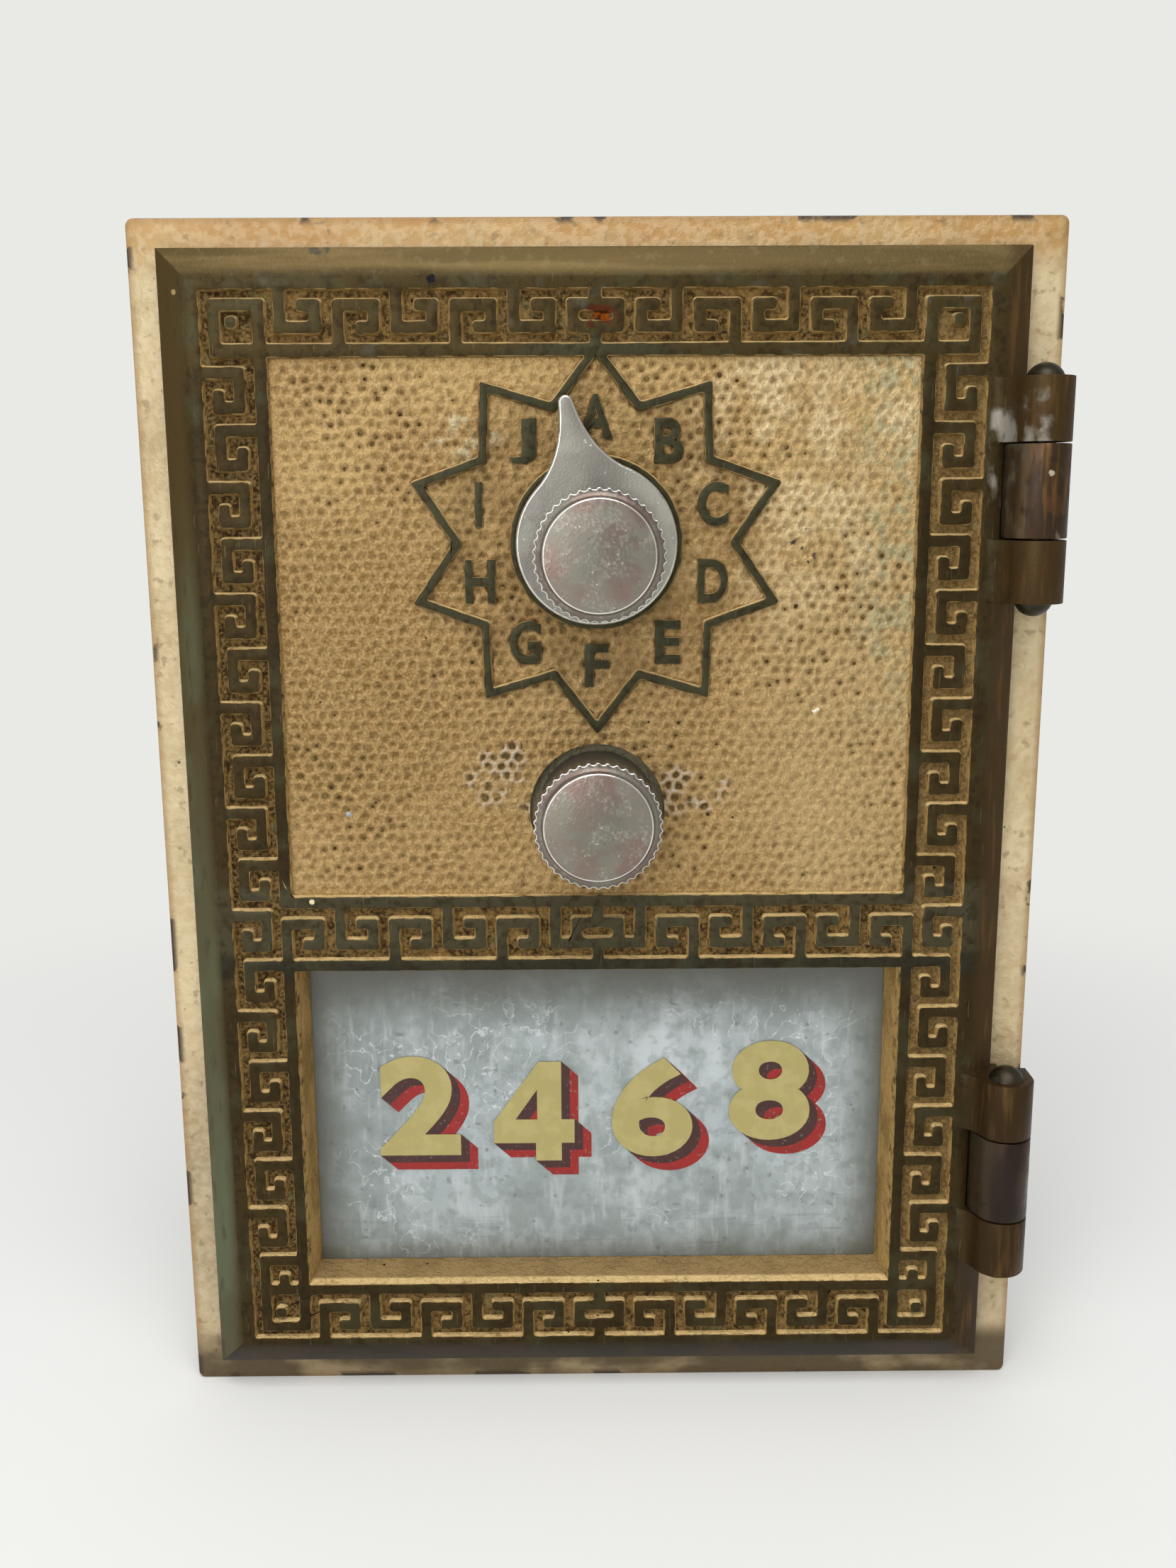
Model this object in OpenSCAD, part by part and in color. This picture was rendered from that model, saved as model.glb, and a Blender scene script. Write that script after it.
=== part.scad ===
// Post office box door: a cast door with a key fret, a letter dial and a finger
// knob, hung on two hinges in a thin front frame, with its lock on the back.
// Depths are drawn from the door's raised face, which is at zero, with the back
// positive. seated() then moves everything so that Y is zero where the frame's
// four rear bosses seat, and X and Z are zero at the middle of the door.

/* [Door] */
// Width of the door across its bevelled edge
door_w = 127; // [126:0.5:130]
// Height of the door
door_h = 178; // [177:0.5:182]
// Thickness of the door at its rim
door_t = 4.4; // [4:0.1:4.6]
// Thickness of the casting behind the raised face
face_t = 3.4; // [3:0.1:3.6]
// Width of the bevel round the edge
bevel_run = 4.3; // [3:0.1:4.5]
// How far the bevel falls back
bevel_drop = 2.2; // [1:0.1:3]
// Width of the rim that closes against the frame
rim_w = 5; // [3:0.5:5.5]
// Depth of the sunk pattern
relief = 1.0; // [0.6:0.1:1.4]

/* [Pattern] */
// Plain border between the bevel and the fret at the sides
side_border = 1.9; // [1.5:0.1:2.1]
// Plain border above the top fret
top_border = 1.6; // [1.2:0.1:1.8]
// Plain border below the bottom fret
bottom_border = 1.0; // [0.8:0.1:1.6]
// Width of the top and side frets
band_w = 7.8; // [7:0.1:8]
// Width of the fret under the letter panel
middle_band_w = 8.7; // [8:0.1:9]
// Width of the bottom fret
bottom_band_w = 8.1; // [7.5:0.1:8.4]
// Width of the plain line inside each fret
rail_w = 1.65; // [1.4:0.05:1.8]
// Width of the key's own line
key_line = 1.5; // [1.2:0.05:1.6]
// Height of the letter panel
panel_h = 81.3; // [80:0.1:82]
// Half width of the block at the middle of a fret
block_half = 4.05; // [3.6:0.05:4.3]
// Gap between the middle fret's last key and its block
block_gap = 1.85; // [1.6:0.05:2.1]
// Keys on each half of the top and bottom frets
top_keys = 5; // [4:1:6]
// Keys from the top corner to the window
upper_keys = 11; // [9:1:13]
// Keys from the window's top to the bottom corner
lower_keys = 7; // [5:1:9]

/* [Dial] */
// Distance of the dial's centre below the letter panel's top
dial_drop = 26.9; // [26.2:0.05:27.6]
// Radius of the star's points
star_r = 28.8; // [26:0.1:29]
// Radius of the star's notches
star_notch_r = 21.3; // [20:0.1:22]
// Width of the star's raised line
star_line = 1.15; // [0.9:0.05:1.3]
// Outer radius of the raised ring under the pointer
ring_r = 12.75; // [12.3:0.05:13]
// Width of the raised ring
ring_w = 0.75; // [0.6:0.05:1]
// Radius of the pointer plate's round part
pointer_r = 11.9; // [11:0.1:12.2]
// Distance from the dial's centre to the pointer's tip
pointer_reach = 21.7; // [20:0.1:22.5]
// Thickness of the pointer plate
pointer_t = 1.6; // [1.2:0.1:1.8]
// Angle of the pointer, anticlockwise from the right
pointer_angle = 102.4; // [0:0.1:360]
// How far the grip is set off the spindle, away from the pointer
grip_offset = 1.45; // [0:0.05:2]
// Diameter of the dial's spindle
spindle_d = 5; // [4.6:0.1:5.2]

/* [Knobs] */
// Diameter over a knob's scalloped rim
knob_d = 19.2; // [18:0.1:19.6]
// Diameter of the smooth body behind the rim
knob_body_d = 18; // [17:0.1:18.4]
// Diameter of a knob's flat face
knob_face_d = 16.2; // [15:0.1:16.6]
// Depth of the scalloped rim
knob_rim_t = 2.8; // [2:0.1:3.4]
// Height of the bevel round the flat face
knob_bevel = 1.0; // [0.6:0.1:1.4]
// Scallops round a rim
scallops = 42; // [36:1:46]
// How far the dial knob stands in front of the door
dial_knob_proud = 12; // [11:0.1:13]
// How far the finger knob stands in front of the door
latch_knob_proud = 11.5; // [10:0.1:12.5]
// Height of the finger knob's centre above the letter panel's foot
latch_rise = 13.55; // [13.2:0.05:13.8]
// Diameter of the well that the finger knob sits in
well_d = 20.8; // [20.2:0.1:21.4]
// Diameter of the finger knob's spindle
latch_spindle_d = 6; // [5.6:0.1:6.2]

/* [Hinges] */
// How far the hinge line lies outside the door's edge
hinge_out = 1.55; // [1.3:0.05:1.8]
// How far the hinge line stands in front of the raised face
hinge_proud = 1.6; // [1.3:0.05:1.8]
// Diameter of the hinge barrel
barrel_d = 8.5; // [8:0.1:8.8]
// Length of a whole hinge
hinge_len = 32.6; // [30:0.1:34]
// Length of the frame's knuckle
middle_knuckle = 13.6; // [12:0.1:15]
// Gap between two knuckles
knuckle_gap = 0.25; // [0.2:0.05:0.4]
// Distance of each hinge's middle from the door's end
hinge_inset = 35; // [32:0.5:39]
// Diameter of the hinge pin
hinge_pin_d = 3.2; // [2.8:0.1:3.6]
// Diameter of the pin's domed ends
dome_d = 5.5; // [5:0.1:6]
// Height of the pin's domed ends
dome_h = 2; // [1.5:0.1:2.3]

/* [Frame] */
// Plate showing on the latch side
margin_latch = 4.8; // [4.6:0.1:6]
// Plate showing on the hinge side
margin_hinge = 5.8; // [5.8:0.1:6.6]
// Plate showing above the door
margin_top = 4.5; // [4.4:0.1:6]
// Plate showing below the door
margin_bottom = 4.8; // [4.4:0.1:6]
// Thickness of the plate
plate_t = 2; // [1.6:0.1:2.4]
// Corner radius of the plate
plate_corner_r = 1.2; // [0.5:0.1:2]
// Gap between the shut door and the plate
door_gap = 0.3; // [0.2:0.05:0.4]
// How far the collar's opening lies inside the door's edge
throat_inset = 6; // [5.5:0.1:6.5]
// Thickness of the collar
collar_t = 2.5; // [2:0.1:2.6]
// How far the collar reaches behind the plate
collar_depth = 14; // [12:0.5:18]
// Distance of a mounting hole beside the collar
mount_side = 3.8; // [3.5:0.1:4]
// Distance of a mounting hole above or below the collar
mount_end = 3; // [2.5:0.1:3.5]
// Diameter of a tapped mounting hole
mount_hole_d = 3.4; // [3:0.1:3.6]
// Diameter of a mounting boss
mount_boss_d = 7; // [6.6:0.1:7]
// Length of a mounting boss behind the plate
mount_boss_len = 8; // [6:0.5:10]

/* [Window] */
// How far back the glass sits
glass_depth = 6.5; // [6:0.1:7]
// Thickness of the glass
glass_t = 3; // [2.4:0.1:3.2]
// How far each window wall leans in towards the glass
window_draft = 1.2; // [0.6:0.1:1.4]
// How far the glass laps behind the opening
glass_lap = 3.2; // [2.6:0.1:3.4]
// Thickness of the sheet that holds the glass
retainer_t = 1.2; // [1:0.1:1.5]
// Width of the retainer over the glass
retainer_lap = 2.6; // [2:0.1:3]
// Diameter of the glass posts
glass_post_d = 4.6; // [4.2:0.1:4.6]

/* [Lock] */
// Radius of a tumbler wheel
wheel_r = 15; // [14:0.1:15.2]
// Thickness of a tumbler wheel
wheel_t = 1.8; // [1.5:0.1:1.9]
// Gap beside each turning piece
side_gap = 0.3; // [0.25:0.05:0.4]
// Thickness of the fixed washers between the wheels
spacer_t = 0.6; // [0.5:0.05:0.8]
// Width of the two opposite gates in a wheel
gate_w = 6.6; // [6.2:0.1:7]
// Depth of the gate in a wheel
gate_depth = 4; // [3.8:0.1:4.5]
// Outer diameter of the wheel post
post_d = 8; // [7.6:0.1:8.4]
// Radial clearance of every turning fit
fit = 0.05; // [0.03:0.01:0.08]
// Radius on which the wheels' pins stand
fly_r = 9; // [8.8:0.1:9.4]
// Diameter of the wheels' pins
fly_d = 1.6; // [1.2:0.1:1.8]
// Radius of the drive cam
drive_r = 12; // [11:0.1:12.5]
// Thickness of the drive cam
drive_t = 2.5; // [2:0.1:2.6]
// Radius of the crank on the latch spindle
crank_r = 7.5; // [7.3:0.05:7.6]
// Turn of the finger knob that draws the bolt
latch_turn = 60; // [56:1:62]
// Height of the bolt
bolt_h = 9; // [8.4:0.1:9]
// Thickness of the bolt
bolt_t = 3; // [2.6:0.1:3]
// How far the bolt reaches past the collar's inner face
bolt_throw = 6; // [5:0.1:6.2]
// Distance of the lever's pivot from the dial's axis
pivot_x = 24; // [23.5:0.1:25]
// Distance of the lever's pivot below the dial's centre
pivot_drop = 16.75; // [16.55:0.05:16.95]
// Turn of the fence lever as the bolt is drawn
fence_turn = 8; // [7.8:0.1:8.1]
// Diameter of the return spring
spring_d = 4; // [3.4:0.1:4]
// Diameter of the spring's wire
spring_wire = 0.7; // [0.5:0.05:0.8]

/* [Hidden] */
$fn = 48;

// Overlap that fuses two shapes of one piece
fuse = 0.4;
// How far a cut reaches past the face that it opens
over = 1;
// Play round what passes through a piece loosely
loose = 0.2;
// Size of a block that trims a piece
block = 20;

// Frame depths
plate_front = door_t + door_gap;
plate_back = plate_front + plate_t;
seat_y = plate_back + mount_boss_len;
collar_back = plate_back + collar_depth;
plate_left = -door_w / 2 - margin_latch;
plate_right = door_w / 2 + margin_hinge;
plate_low = -door_h / 2 - margin_bottom;
plate_high = door_h / 2 + margin_top;

// Pattern lines, from the outside in
band_x = door_w / 2 - bevel_run - side_border;
rail_x = band_x - band_w;
panel_x = rail_x - rail_w;
band_top = door_h / 2 - bevel_run - top_border;
rail_top = band_top - band_w;
panel_top = rail_top - rail_w;
panel_low = panel_top - panel_h;
middle_top = panel_low - rail_w;
middle_low = middle_top - middle_band_w;
window_top = middle_low - rail_w;
band_low = -door_h / 2 + bevel_run + bottom_border;
bottom_top = band_low + bottom_band_w;
window_low = bottom_top + rail_w;
window_h = window_top - window_low;
corner_run = band_w + rail_w + key_line;

// Places that follow the pattern and the door's edge
dial_z = panel_top - dial_drop;
latch_z = panel_low + latch_rise;
hinge_x = door_w / 2 + hinge_out;
hinge_z = door_h / 2 - hinge_inset;
throat_w = door_w - 2 * throat_inset;
throat_h = door_h - 2 * throat_inset;
mount_x = throat_w + 2 * (collar_t + mount_side);
mount_z = throat_h + 2 * (collar_t + mount_end);
pivot_z = dial_z - pivot_drop;

// Dial depths
pointer_back = -pointer_t;
pointer_front = 2 * pointer_back;
hub_back = -side_gap;
grip_x = -grip_offset * cos(pointer_angle);
grip_z = dial_z - grip_offset * sin(pointer_angle);

// Lock depths
boss_rise = 2.6;
boss_back = face_t + boss_rise;
shoulder_t = 1;
wheel_pitch = wheel_t + spacer_t + 2 * side_gap;
wheel_1_y = boss_back + shoulder_t + side_gap;
wheel_2_y = wheel_1_y + wheel_pitch;
wheel_3_y = wheel_2_y + wheel_pitch;
spacer_1_y = wheel_1_y + wheel_t + side_gap;
spacer_2_y = wheel_2_y + wheel_t + side_gap;
clip_y = wheel_3_y + wheel_t + side_gap;
clip_t = 0.6;
post_end = 1.2;
post_back = clip_y + clip_t + post_end;
drive_y = post_back + side_gap;
nut_y = drive_y + drive_t;
nut_t = 2.4;
spindle_end = 0.8;
spindle_back = nut_y + nut_t + spindle_end;
bridge_gap = 0.8;
bridge_y = spindle_back + bridge_gap;
bridge_t = 1.8;
fly_reach = 0.8;
drive_reach = clip_t + post_end - loose;
wheel_gap_angle = 45;
front_pin_angle = 20;
middle_pin_angle = 140;
rear_pin_angle = 250;

// Latch depths
well_back = 3;
cam_gap = 1.6;
cam_y = boss_back + cam_gap;
cam_t = 2;
bolt_gap = 0.9;
bolt_y = cam_y + cam_t + bolt_gap;
bolt_back = bolt_y + bolt_t;
crank_d = 2.8;
crank_start = 90 + latch_turn / 2;
bolt_travel = 2 * crank_r * sin(latch_turn / 2);
bolt_tip = -throat_w / 2 - bolt_throw;
bolt_tail = 36;
slide_gap = 0.3;

// Fence lever
lever_gap = 0.5;
lever_y = bolt_back + lever_gap;
lever_t = 2;
nose_half = 2.2;
nose_gap = 0.55;
nose_top = dial_z - wheel_r - nose_gap;
lever_pin_x = 11;
lever_pin_drop = 9.5;
lever_pin_z = pivot_z - lever_pin_drop;
lever_pin_d = 2.4;
pin_dx = lever_pin_x - pivot_x;
pin_dz = lever_pin_z - pivot_z;
pin_end_x = pivot_x + pin_dx * cos(fence_turn) + pin_dz * sin(fence_turn) - bolt_travel;
pin_end_z = pivot_z - pin_dx * sin(fence_turn) + pin_dz * cos(fence_turn);

// Lays a drawing in X and Z between two depths
module slab(front, back) {
  translate([0, back, 0]) rotate([90, 0, 0]) linear_extrude(back - front) children();
}

// Moves a piece from the door's face to the frame's seat
module seated() { translate([0, -seat_y, 0]) children(); }

module span(x0, x1, z0, z1) { translate([x0, z0]) square([x1 - x0, z1 - z0]); }

module disc(x, z, d) { translate([x, z]) circle(d = d); }

module rounded_span(x0, x1, z0, z1, r) {
  span(x0 + r, x1 - r, z0, z1);
  span(x0, x1, z0 + r, z1 - r);
  for (x = [x0 + r, x1 - r], z = [z0 + r, z1 - r]) disc(x, z, 2 * r);
}

// One key: a stem from the rail, a turn along, a turn back and a hook
module key(pitch, depth) {
  run = (pitch - 2 * key_line) / 3;
  drop = (depth - 2 * key_line) / 3;
  leg = key_line + 2 * run;
  polygon([
    [0, -fuse], [0, depth - drop], [leg + key_line, depth - drop], [leg + key_line, drop],
    [key_line + run, drop], [key_line + run, drop + key_line], [leg, drop + key_line],
    [leg, depth - drop - key_line], [key_line, depth - drop - key_line], [key_line, -fuse]
  ]);
}

// A row of keys that hang from the two rails in turn, starting at the first
module key_row(count, pitch, depth, first) {
  for (i = [0 : count - 1]) translate([i * pitch, 0])
    if ((i + first) % 2 == 0) key(pitch, depth);
    else translate([0, depth]) mirror([0, 1]) key(pitch, depth);
}

// The block at the middle of a fret: two stems and a slotted lozenge
module middle_block(depth) {
  drop = (depth - 2 * key_line) / 3;
  slot_r = drop / 2;
  span(-key_line / 2, key_line / 2, -fuse, drop + fuse);
  span(-key_line / 2, key_line / 2, depth - drop - fuse, depth + fuse);
  difference() {
    span(-block_half, block_half, drop, depth - drop);
    span(-block_half + key_line + slot_r, block_half - key_line - slot_r,
         depth / 2 - slot_r, depth / 2 + slot_r);
    for (s = [-1, 1]) disc(s * (block_half - key_line - slot_r), depth / 2, 2 * slot_r);
  }
}

// The fret across the top, drawn downwards from its outer edge
module end_fret(depth) {
  start = band_x - corner_run;
  pitch = (start - block_half) / top_keys;
  for (s = [0, 1]) mirror([s, 0]) translate([-start, 0]) key_row(top_keys, pitch, depth, 0);
  middle_block(depth);
}

// The fret under the panel, which runs into the side frets
module middle_fret() {
  depth = middle_band_w;
  drop = (depth - 2 * key_line) / 3;
  pitch = (rail_x - block_half - key_line - block_gap) / top_keys;
  last = -rail_x + top_keys * pitch;
  for (s = [0, 1]) mirror([s, 0]) {
    translate([-rail_x, 0]) key_row(top_keys, pitch, depth, 1);
    span(last, last + key_line, -fuse, depth - drop);
    span(last, -block_half + fuse, depth - drop - key_line, depth - drop);
  }
  middle_block(depth);
}

// The frets down one side, drawn along the length and inwards from the edge
module side_fret() {
  upper = band_top - corner_run - middle_low;
  lower = middle_low - bottom_top + rail_w;
  key_row(upper_keys, upper / upper_keys, band_w, 0);
  translate([upper, 0]) key_row(lower_keys, lower / lower_keys, band_w, 1);
}

// The square ring and dot in a corner, drawn from the band's outer corner
module corner_square(w, h) {
  side_x = w + rail_w - key_line;
  side_z = h + rail_w - key_line;
  difference() {
    translate([key_line, key_line]) square([side_x, side_z]);
    translate([2 * key_line, 2 * key_line]) square([w - 2 * key_line, h - 2 * key_line]);
  }
  translate([w / 2 + key_line / 2, h / 2 + key_line / 2]) square(key_line, center = true);
}

function star_points(k) = [for (i = [0 : 19]) let (r = k * (i % 2 == 0 ? star_r : star_notch_r))
  [r * sin(18 * i), r * cos(18 * i)]];
// Distance of a star's edge from its centre
star_edge = star_r * star_notch_r * sin(18)
  / sqrt(star_r * star_r + star_notch_r * star_notch_r - 2 * star_r * star_notch_r * cos(18));

module dial_ground() {
  translate([0, dial_z]) {
    difference() {
      polygon(star_points(1));
      polygon(star_points(1 - star_line / star_edge));
    }
    difference() {
      circle(r = ring_r);
      circle(r = ring_r - ring_w);
    }
  }
}

module raised_plan() {
  translate([0, band_top]) mirror([0, 1]) end_fret(band_w);
  translate([0, band_low]) end_fret(bottom_band_w);
  translate([0, middle_top]) mirror([0, 1]) middle_fret();
  for (s = [0, 1]) mirror([s, 0]) {
    translate([-band_x, band_top - corner_run]) rotate(-90) side_fret();
    translate([-band_x, band_top]) mirror([0, 1]) corner_square(band_w, band_w);
    translate([-band_x, band_low]) corner_square(band_w, bottom_band_w);
  }
  dial_ground();
}

module sunk_plan() {
  difference() {
    span(-band_x, band_x, band_low, band_top);
    span(-rail_x, rail_x, bottom_top, rail_top);
  }
  span(-rail_x - fuse, rail_x + fuse, middle_low, middle_top);
  span(-panel_x, panel_x, panel_low, panel_top);
}

// The window's tapered cut, wide in front and narrow at the glass
module window_cut() {
  slope = window_draft / glass_depth;
  front = -over;
  back = glass_depth + over;
  mid = (window_top + window_low) / 2;
  half = window_h / 2;
  intersection() {
    translate([0, 0, window_low - over]) linear_extrude(window_h + 2 * over) polygon([
      [-panel_x + slope * front, front], [panel_x - slope * front, front],
      [panel_x - slope * back, back], [-panel_x + slope * back, back]
    ]);
    translate([-panel_x - over, 0, mid]) rotate([90, 0, 90]) linear_extrude(2 * (panel_x + over)) polygon([
      [front, -half + slope * front], [front, half - slope * front],
      [back, half - slope * back], [back, -half + slope * back]
    ]);
  }
}

// One bevel along an edge of the given length, centred, facing up
module edge_cut(reach, length) {
  translate([-length / 2, 0, 0]) rotate([90, 0, 90]) linear_extrude(length) polygon([
    [-over, reach + over], [-over, reach - bevel_run - over * bevel_run / bevel_drop],
    [bevel_drop, reach], [bevel_drop, reach + over]
  ]);
}

glass_x = panel_x - window_draft + glass_lap;
glass_low = window_low + window_draft - glass_lap;
glass_top = window_top - window_draft + glass_lap;
rim_lap = 0.6;
rim_x = glass_x + rim_lap;
post_x = rim_x + glass_post_d / 2 + loose;
post_rows = [for (k = [0.12, 0.5, 0.88]) glass_low + k * (glass_top - glass_low)];
retainer_x = post_x + glass_post_d / 2;
screw_d = 2.4;
small_head_d = 4.2;
small_head_t = 1.2;

pillar_left = -24;
pillar_top = [30, dial_z + 21.25];
pillar_low = [34, dial_z - 26.75];
pillar_at = [[pillar_left, pillar_top[1]], pillar_top, [pillar_left, pillar_low[1]], pillar_low];
pillar_d = 6;
pillar_bore = 6;
bridge_margin = 4;
bridge_window = 1.5;
bridge_screw_len = 5;
bridge_head_d = 5;
bridge_head_t = 1.6;

guide_in = 3;
guide_tail = 6;
guide_at = [-rail_x + guide_in, bolt_tail - guide_tail];
guide_w = 6.5;
guide_foot = 4;
guide_wall = 1.4;
guide_back = bolt_back + slide_gap + guide_wall;
guide_head_t = 1;
guide_low = latch_z - bolt_h / 2 - slide_gap - guide_foot;
guide_high = latch_z + bolt_h / 2 + slide_gap + guide_foot;
guide_screw_at = [for (x = guide_at, z = [guide_low + guide_foot / 2, guide_high - guide_foot / 2]) [x, z]];
guide_screw_d = 2.2;
guide_screw_into = 1.4;

spring_x = 8.4;
spring_y = boss_back + side_gap + spring_d / 2;
spring_low = latch_z - 16.9;
spring_block_w = 6;
spring_block_h = 2;
spring_stud_h = 3;
spring_arm_r = 9;
spring_arm_w = 4;
spring_arm_angle = latch_turn / 2;
spring_play = 0.1;
spring_top = latch_z + spring_arm_r * sin(spring_arm_angle) - spring_arm_w / 2 - spring_play;
pivot_boss_d = 7;
shoulder_d = 4;
pivot_thread_d = 3;
pivot_thread_front = boss_back + 0.5;
pivot_head_d = 7;
pivot_head_t = 1.5;

dial_boss_d = 15;
well_wall = 2;
bushing_wall = 1.5;
bushing_lip = 3;
bushing_lip_t = 1.2;
post_shoulder = 2;
post_front = 0.1;
washer_wall = 2.5;
clip_wall = 1.5;
spindle_step = 0.5;
spindle_into = 3;
hub_d = 10;
nut_d = 8.4;
scallop_d = 1.1;
scallop_out = 0.25;
face_flare = 0.6;
knob_well_gap = 0.4;
latch_spindle_front = -5;

leaf_start = 1.3;
leaf_sweep = 2.4;
leaf_lift = 0.3;
leaf_angle = 212;
leaf_clearance = 0.4;
leaf_gap = 1.2;
keeper_gap = 0.5;
knuckle_screw_front = 1.2;
knuckle_screw_share = 0.28;

// The swept leaf of a knuckle: a hollow curve up from the face to the barrel
module leaf_profile(back, side_back) {
  r = barrel_d / 2;
  hy = -hinge_proud;
  a = [door_w / 2 - bevel_run - leaf_start, 0];
  b = [a[0] + leaf_sweep, -leaf_lift];
  c = [hinge_x + r * cos(leaf_angle), hy + r * sin(leaf_angle)];
  polygon(concat(
    [[a[0], back]],
    [for (t = [0 : 0.2 : 1]) (1 - t) * (1 - t) * a + 2 * t * (1 - t) * b + t * t * c],
    [[hinge_x, hy], [hinge_x + r, hy], [hinge_x + r, side_back], [hinge_x, side_back], [hinge_x, back]]
  ));
}

module knuckle(z0, z1, back, side_back) {
  translate([0, 0, z0]) linear_extrude(z1 - z0) {
    leaf_profile(back, side_back);
    translate([hinge_x, -hinge_proud]) circle(d = barrel_d);
  }
}

module pin_bore(zc, d) {
  translate([hinge_x, -hinge_proud, zc - hinge_len]) cylinder(d = d, h = 2 * hinge_len);
}

// How far behind the hinge line a turning corner may reach and still clear the plate
side_reach = -hinge_proud + sqrt(pow(plate_front + hinge_proud - leaf_clearance, 2) - pow(barrel_d / 2, 2));
frame_leaf_x = door_w / 2 - bevel_run + leaf_gap;
knuckle_screw_out = 0.4;
knuckle_screw_x = hinge_x + knuckle_screw_out;
knuckle_screw_rows = [-1, 1] * middle_knuckle * knuckle_screw_share;

module frame_plate() color("tan") seated() difference() {
  union() {
    slab(plate_front, plate_back)
      rounded_span(plate_left, plate_right, plate_low, plate_high, plate_corner_r);
    slab(plate_back - fuse, collar_back) span(
      -throat_w / 2 - collar_t, throat_w / 2 + collar_t, -throat_h / 2 - collar_t, throat_h / 2 + collar_t);
    slab(plate_back - fuse, seat_y)
      for (x = [-1, 1] * mount_x / 2, z = [-1, 1] * mount_z / 2) disc(x, z, mount_boss_d);
  }
  slab(plate_front - over, collar_back + over)
    span(-throat_w / 2, throat_w / 2, -throat_h / 2, throat_h / 2);
  slab(seat_y - mount_boss_len + 1, seat_y + over)
    for (x = [-1, 1] * mount_x / 2, z = [-1, 1] * mount_z / 2) disc(x, z, mount_hole_d);
  slab(bolt_y - keeper_gap, bolt_back + keeper_gap) span(
    -throat_w / 2 - collar_t - over, -throat_w / 2 + over,
    latch_z - bolt_h / 2 - keeper_gap, latch_z + bolt_h / 2 + keeper_gap);
  slab(plate_front - over, plate_back + over)
    for (s = [-1, 1], k = knuckle_screw_rows) disc(knuckle_screw_x, s * hinge_z + k, guide_screw_d + loose);
}

module frame_knuckle(zc) difference() {
  intersection() {
    knuckle(zc - middle_knuckle / 2, zc + middle_knuckle / 2, plate_front, plate_front);
    translate([frame_leaf_x, -block, zc - block]) cube([block, 2 * block, 2 * block]);
  }
  pin_bore(zc, hinge_pin_d + 2 * fit);
  slab(knuckle_screw_front, plate_front + over)
    for (k = knuckle_screw_rows) disc(knuckle_screw_x, zc + k, guide_screw_d);
}
module upper_frame_knuckle() color("saddlebrown") seated() frame_knuckle(hinge_z);
module lower_frame_knuckle() color("saddlebrown") seated() frame_knuckle(-hinge_z);

module knuckle_screws() color("dimgray") seated()
  for (s = [-1, 1], k = knuckle_screw_rows) {
    slab(knuckle_screw_front, plate_back + loose) disc(knuckle_screw_x, s * hinge_z + k, guide_screw_d);
    slab(plate_back, plate_back + small_head_t) disc(knuckle_screw_x, s * hinge_z + k, small_head_d);
  }

module door_blank() difference() {
  translate([-door_w / 2, 0, -door_h / 2]) cube([door_w, door_t, door_h]);
  for (a = [0, 180]) rotate([0, a, 0]) edge_cut(door_h / 2, door_w + 2 * over);
  for (a = [90, 270]) rotate([0, a, 0]) edge_cut(door_w / 2, door_h + 2 * over);
  slab(-over, relief) sunk_plan();
  slab(face_t, door_t + over)
    span(-door_w / 2 + rim_w, door_w / 2 - rim_w, -door_h / 2 + rim_w, door_h / 2 - rim_w);
}

module door_back() {
  slab(face_t - fuse, glass_depth) span(-rim_x, rim_x, glass_low - rim_lap, glass_top + rim_lap);
  slab(face_t - fuse, glass_depth + glass_t)
    for (s = [-1, 1], z = post_rows) disc(s * post_x, z, glass_post_d);
  slab(relief + fuse, boss_back) {
    disc(0, dial_z, dial_boss_d);
    disc(0, latch_z, well_d + 2 * well_wall);
  }
  slab(face_t - fuse, lever_y - side_gap) disc(pivot_x, pivot_z, pivot_boss_d);
  slab(face_t - fuse, spring_y + spring_d / 2) span(
    spring_x - spring_block_w / 2, spring_x + spring_block_w / 2, spring_low - spring_block_h, spring_low);
  translate([spring_x, spring_y, spring_low - spring_block_h / 2])
    cylinder(d = spring_d - 2 * (spring_wire + loose), h = spring_stud_h);
}

module door_casting() color("darkkhaki") seated() difference() {
  union() {
    door_blank();
    slab(0, relief + fuse) raised_plan();
    door_back();
    for (s = [-1, 1], k = [-1, 1])
      translate([0, 0, s * hinge_z + k * (middle_knuckle / 2 + hinge_len / 2 + knuckle_gap) / 2])
        knuckle(-(hinge_len - middle_knuckle - 2 * knuckle_gap) / 4,
                (hinge_len - middle_knuckle - 2 * knuckle_gap) / 4, door_t, side_reach);
  }
  window_cut();
  for (s = [-1, 1]) {
    translate([frame_leaf_x - knuckle_gap, -block, s * hinge_z - middle_knuckle / 2 - knuckle_gap])
      cube([block, 2 * block, middle_knuckle + 2 * knuckle_gap]);
    pin_bore(s * hinge_z, hinge_pin_d);
  }
  slab(-over, boss_back + over) disc(0, dial_z, post_d);
  slab(-over, well_back) disc(0, latch_z, well_d);
  slab(well_back - over, boss_back + over) disc(0, latch_z, latch_spindle_d + 2 * bushing_wall);
  slab(glass_depth - over, glass_depth + glass_t + over)
    for (s = [-1, 1], z = post_rows) disc(s * post_x, z, screw_d);
  slab(boss_back, lever_y) disc(pivot_x, pivot_z, pivot_thread_d);
  slab(face_t - guide_screw_into, face_t + over) for (p = guide_screw_at) disc(p[0], p[1], guide_screw_d);
}

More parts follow.
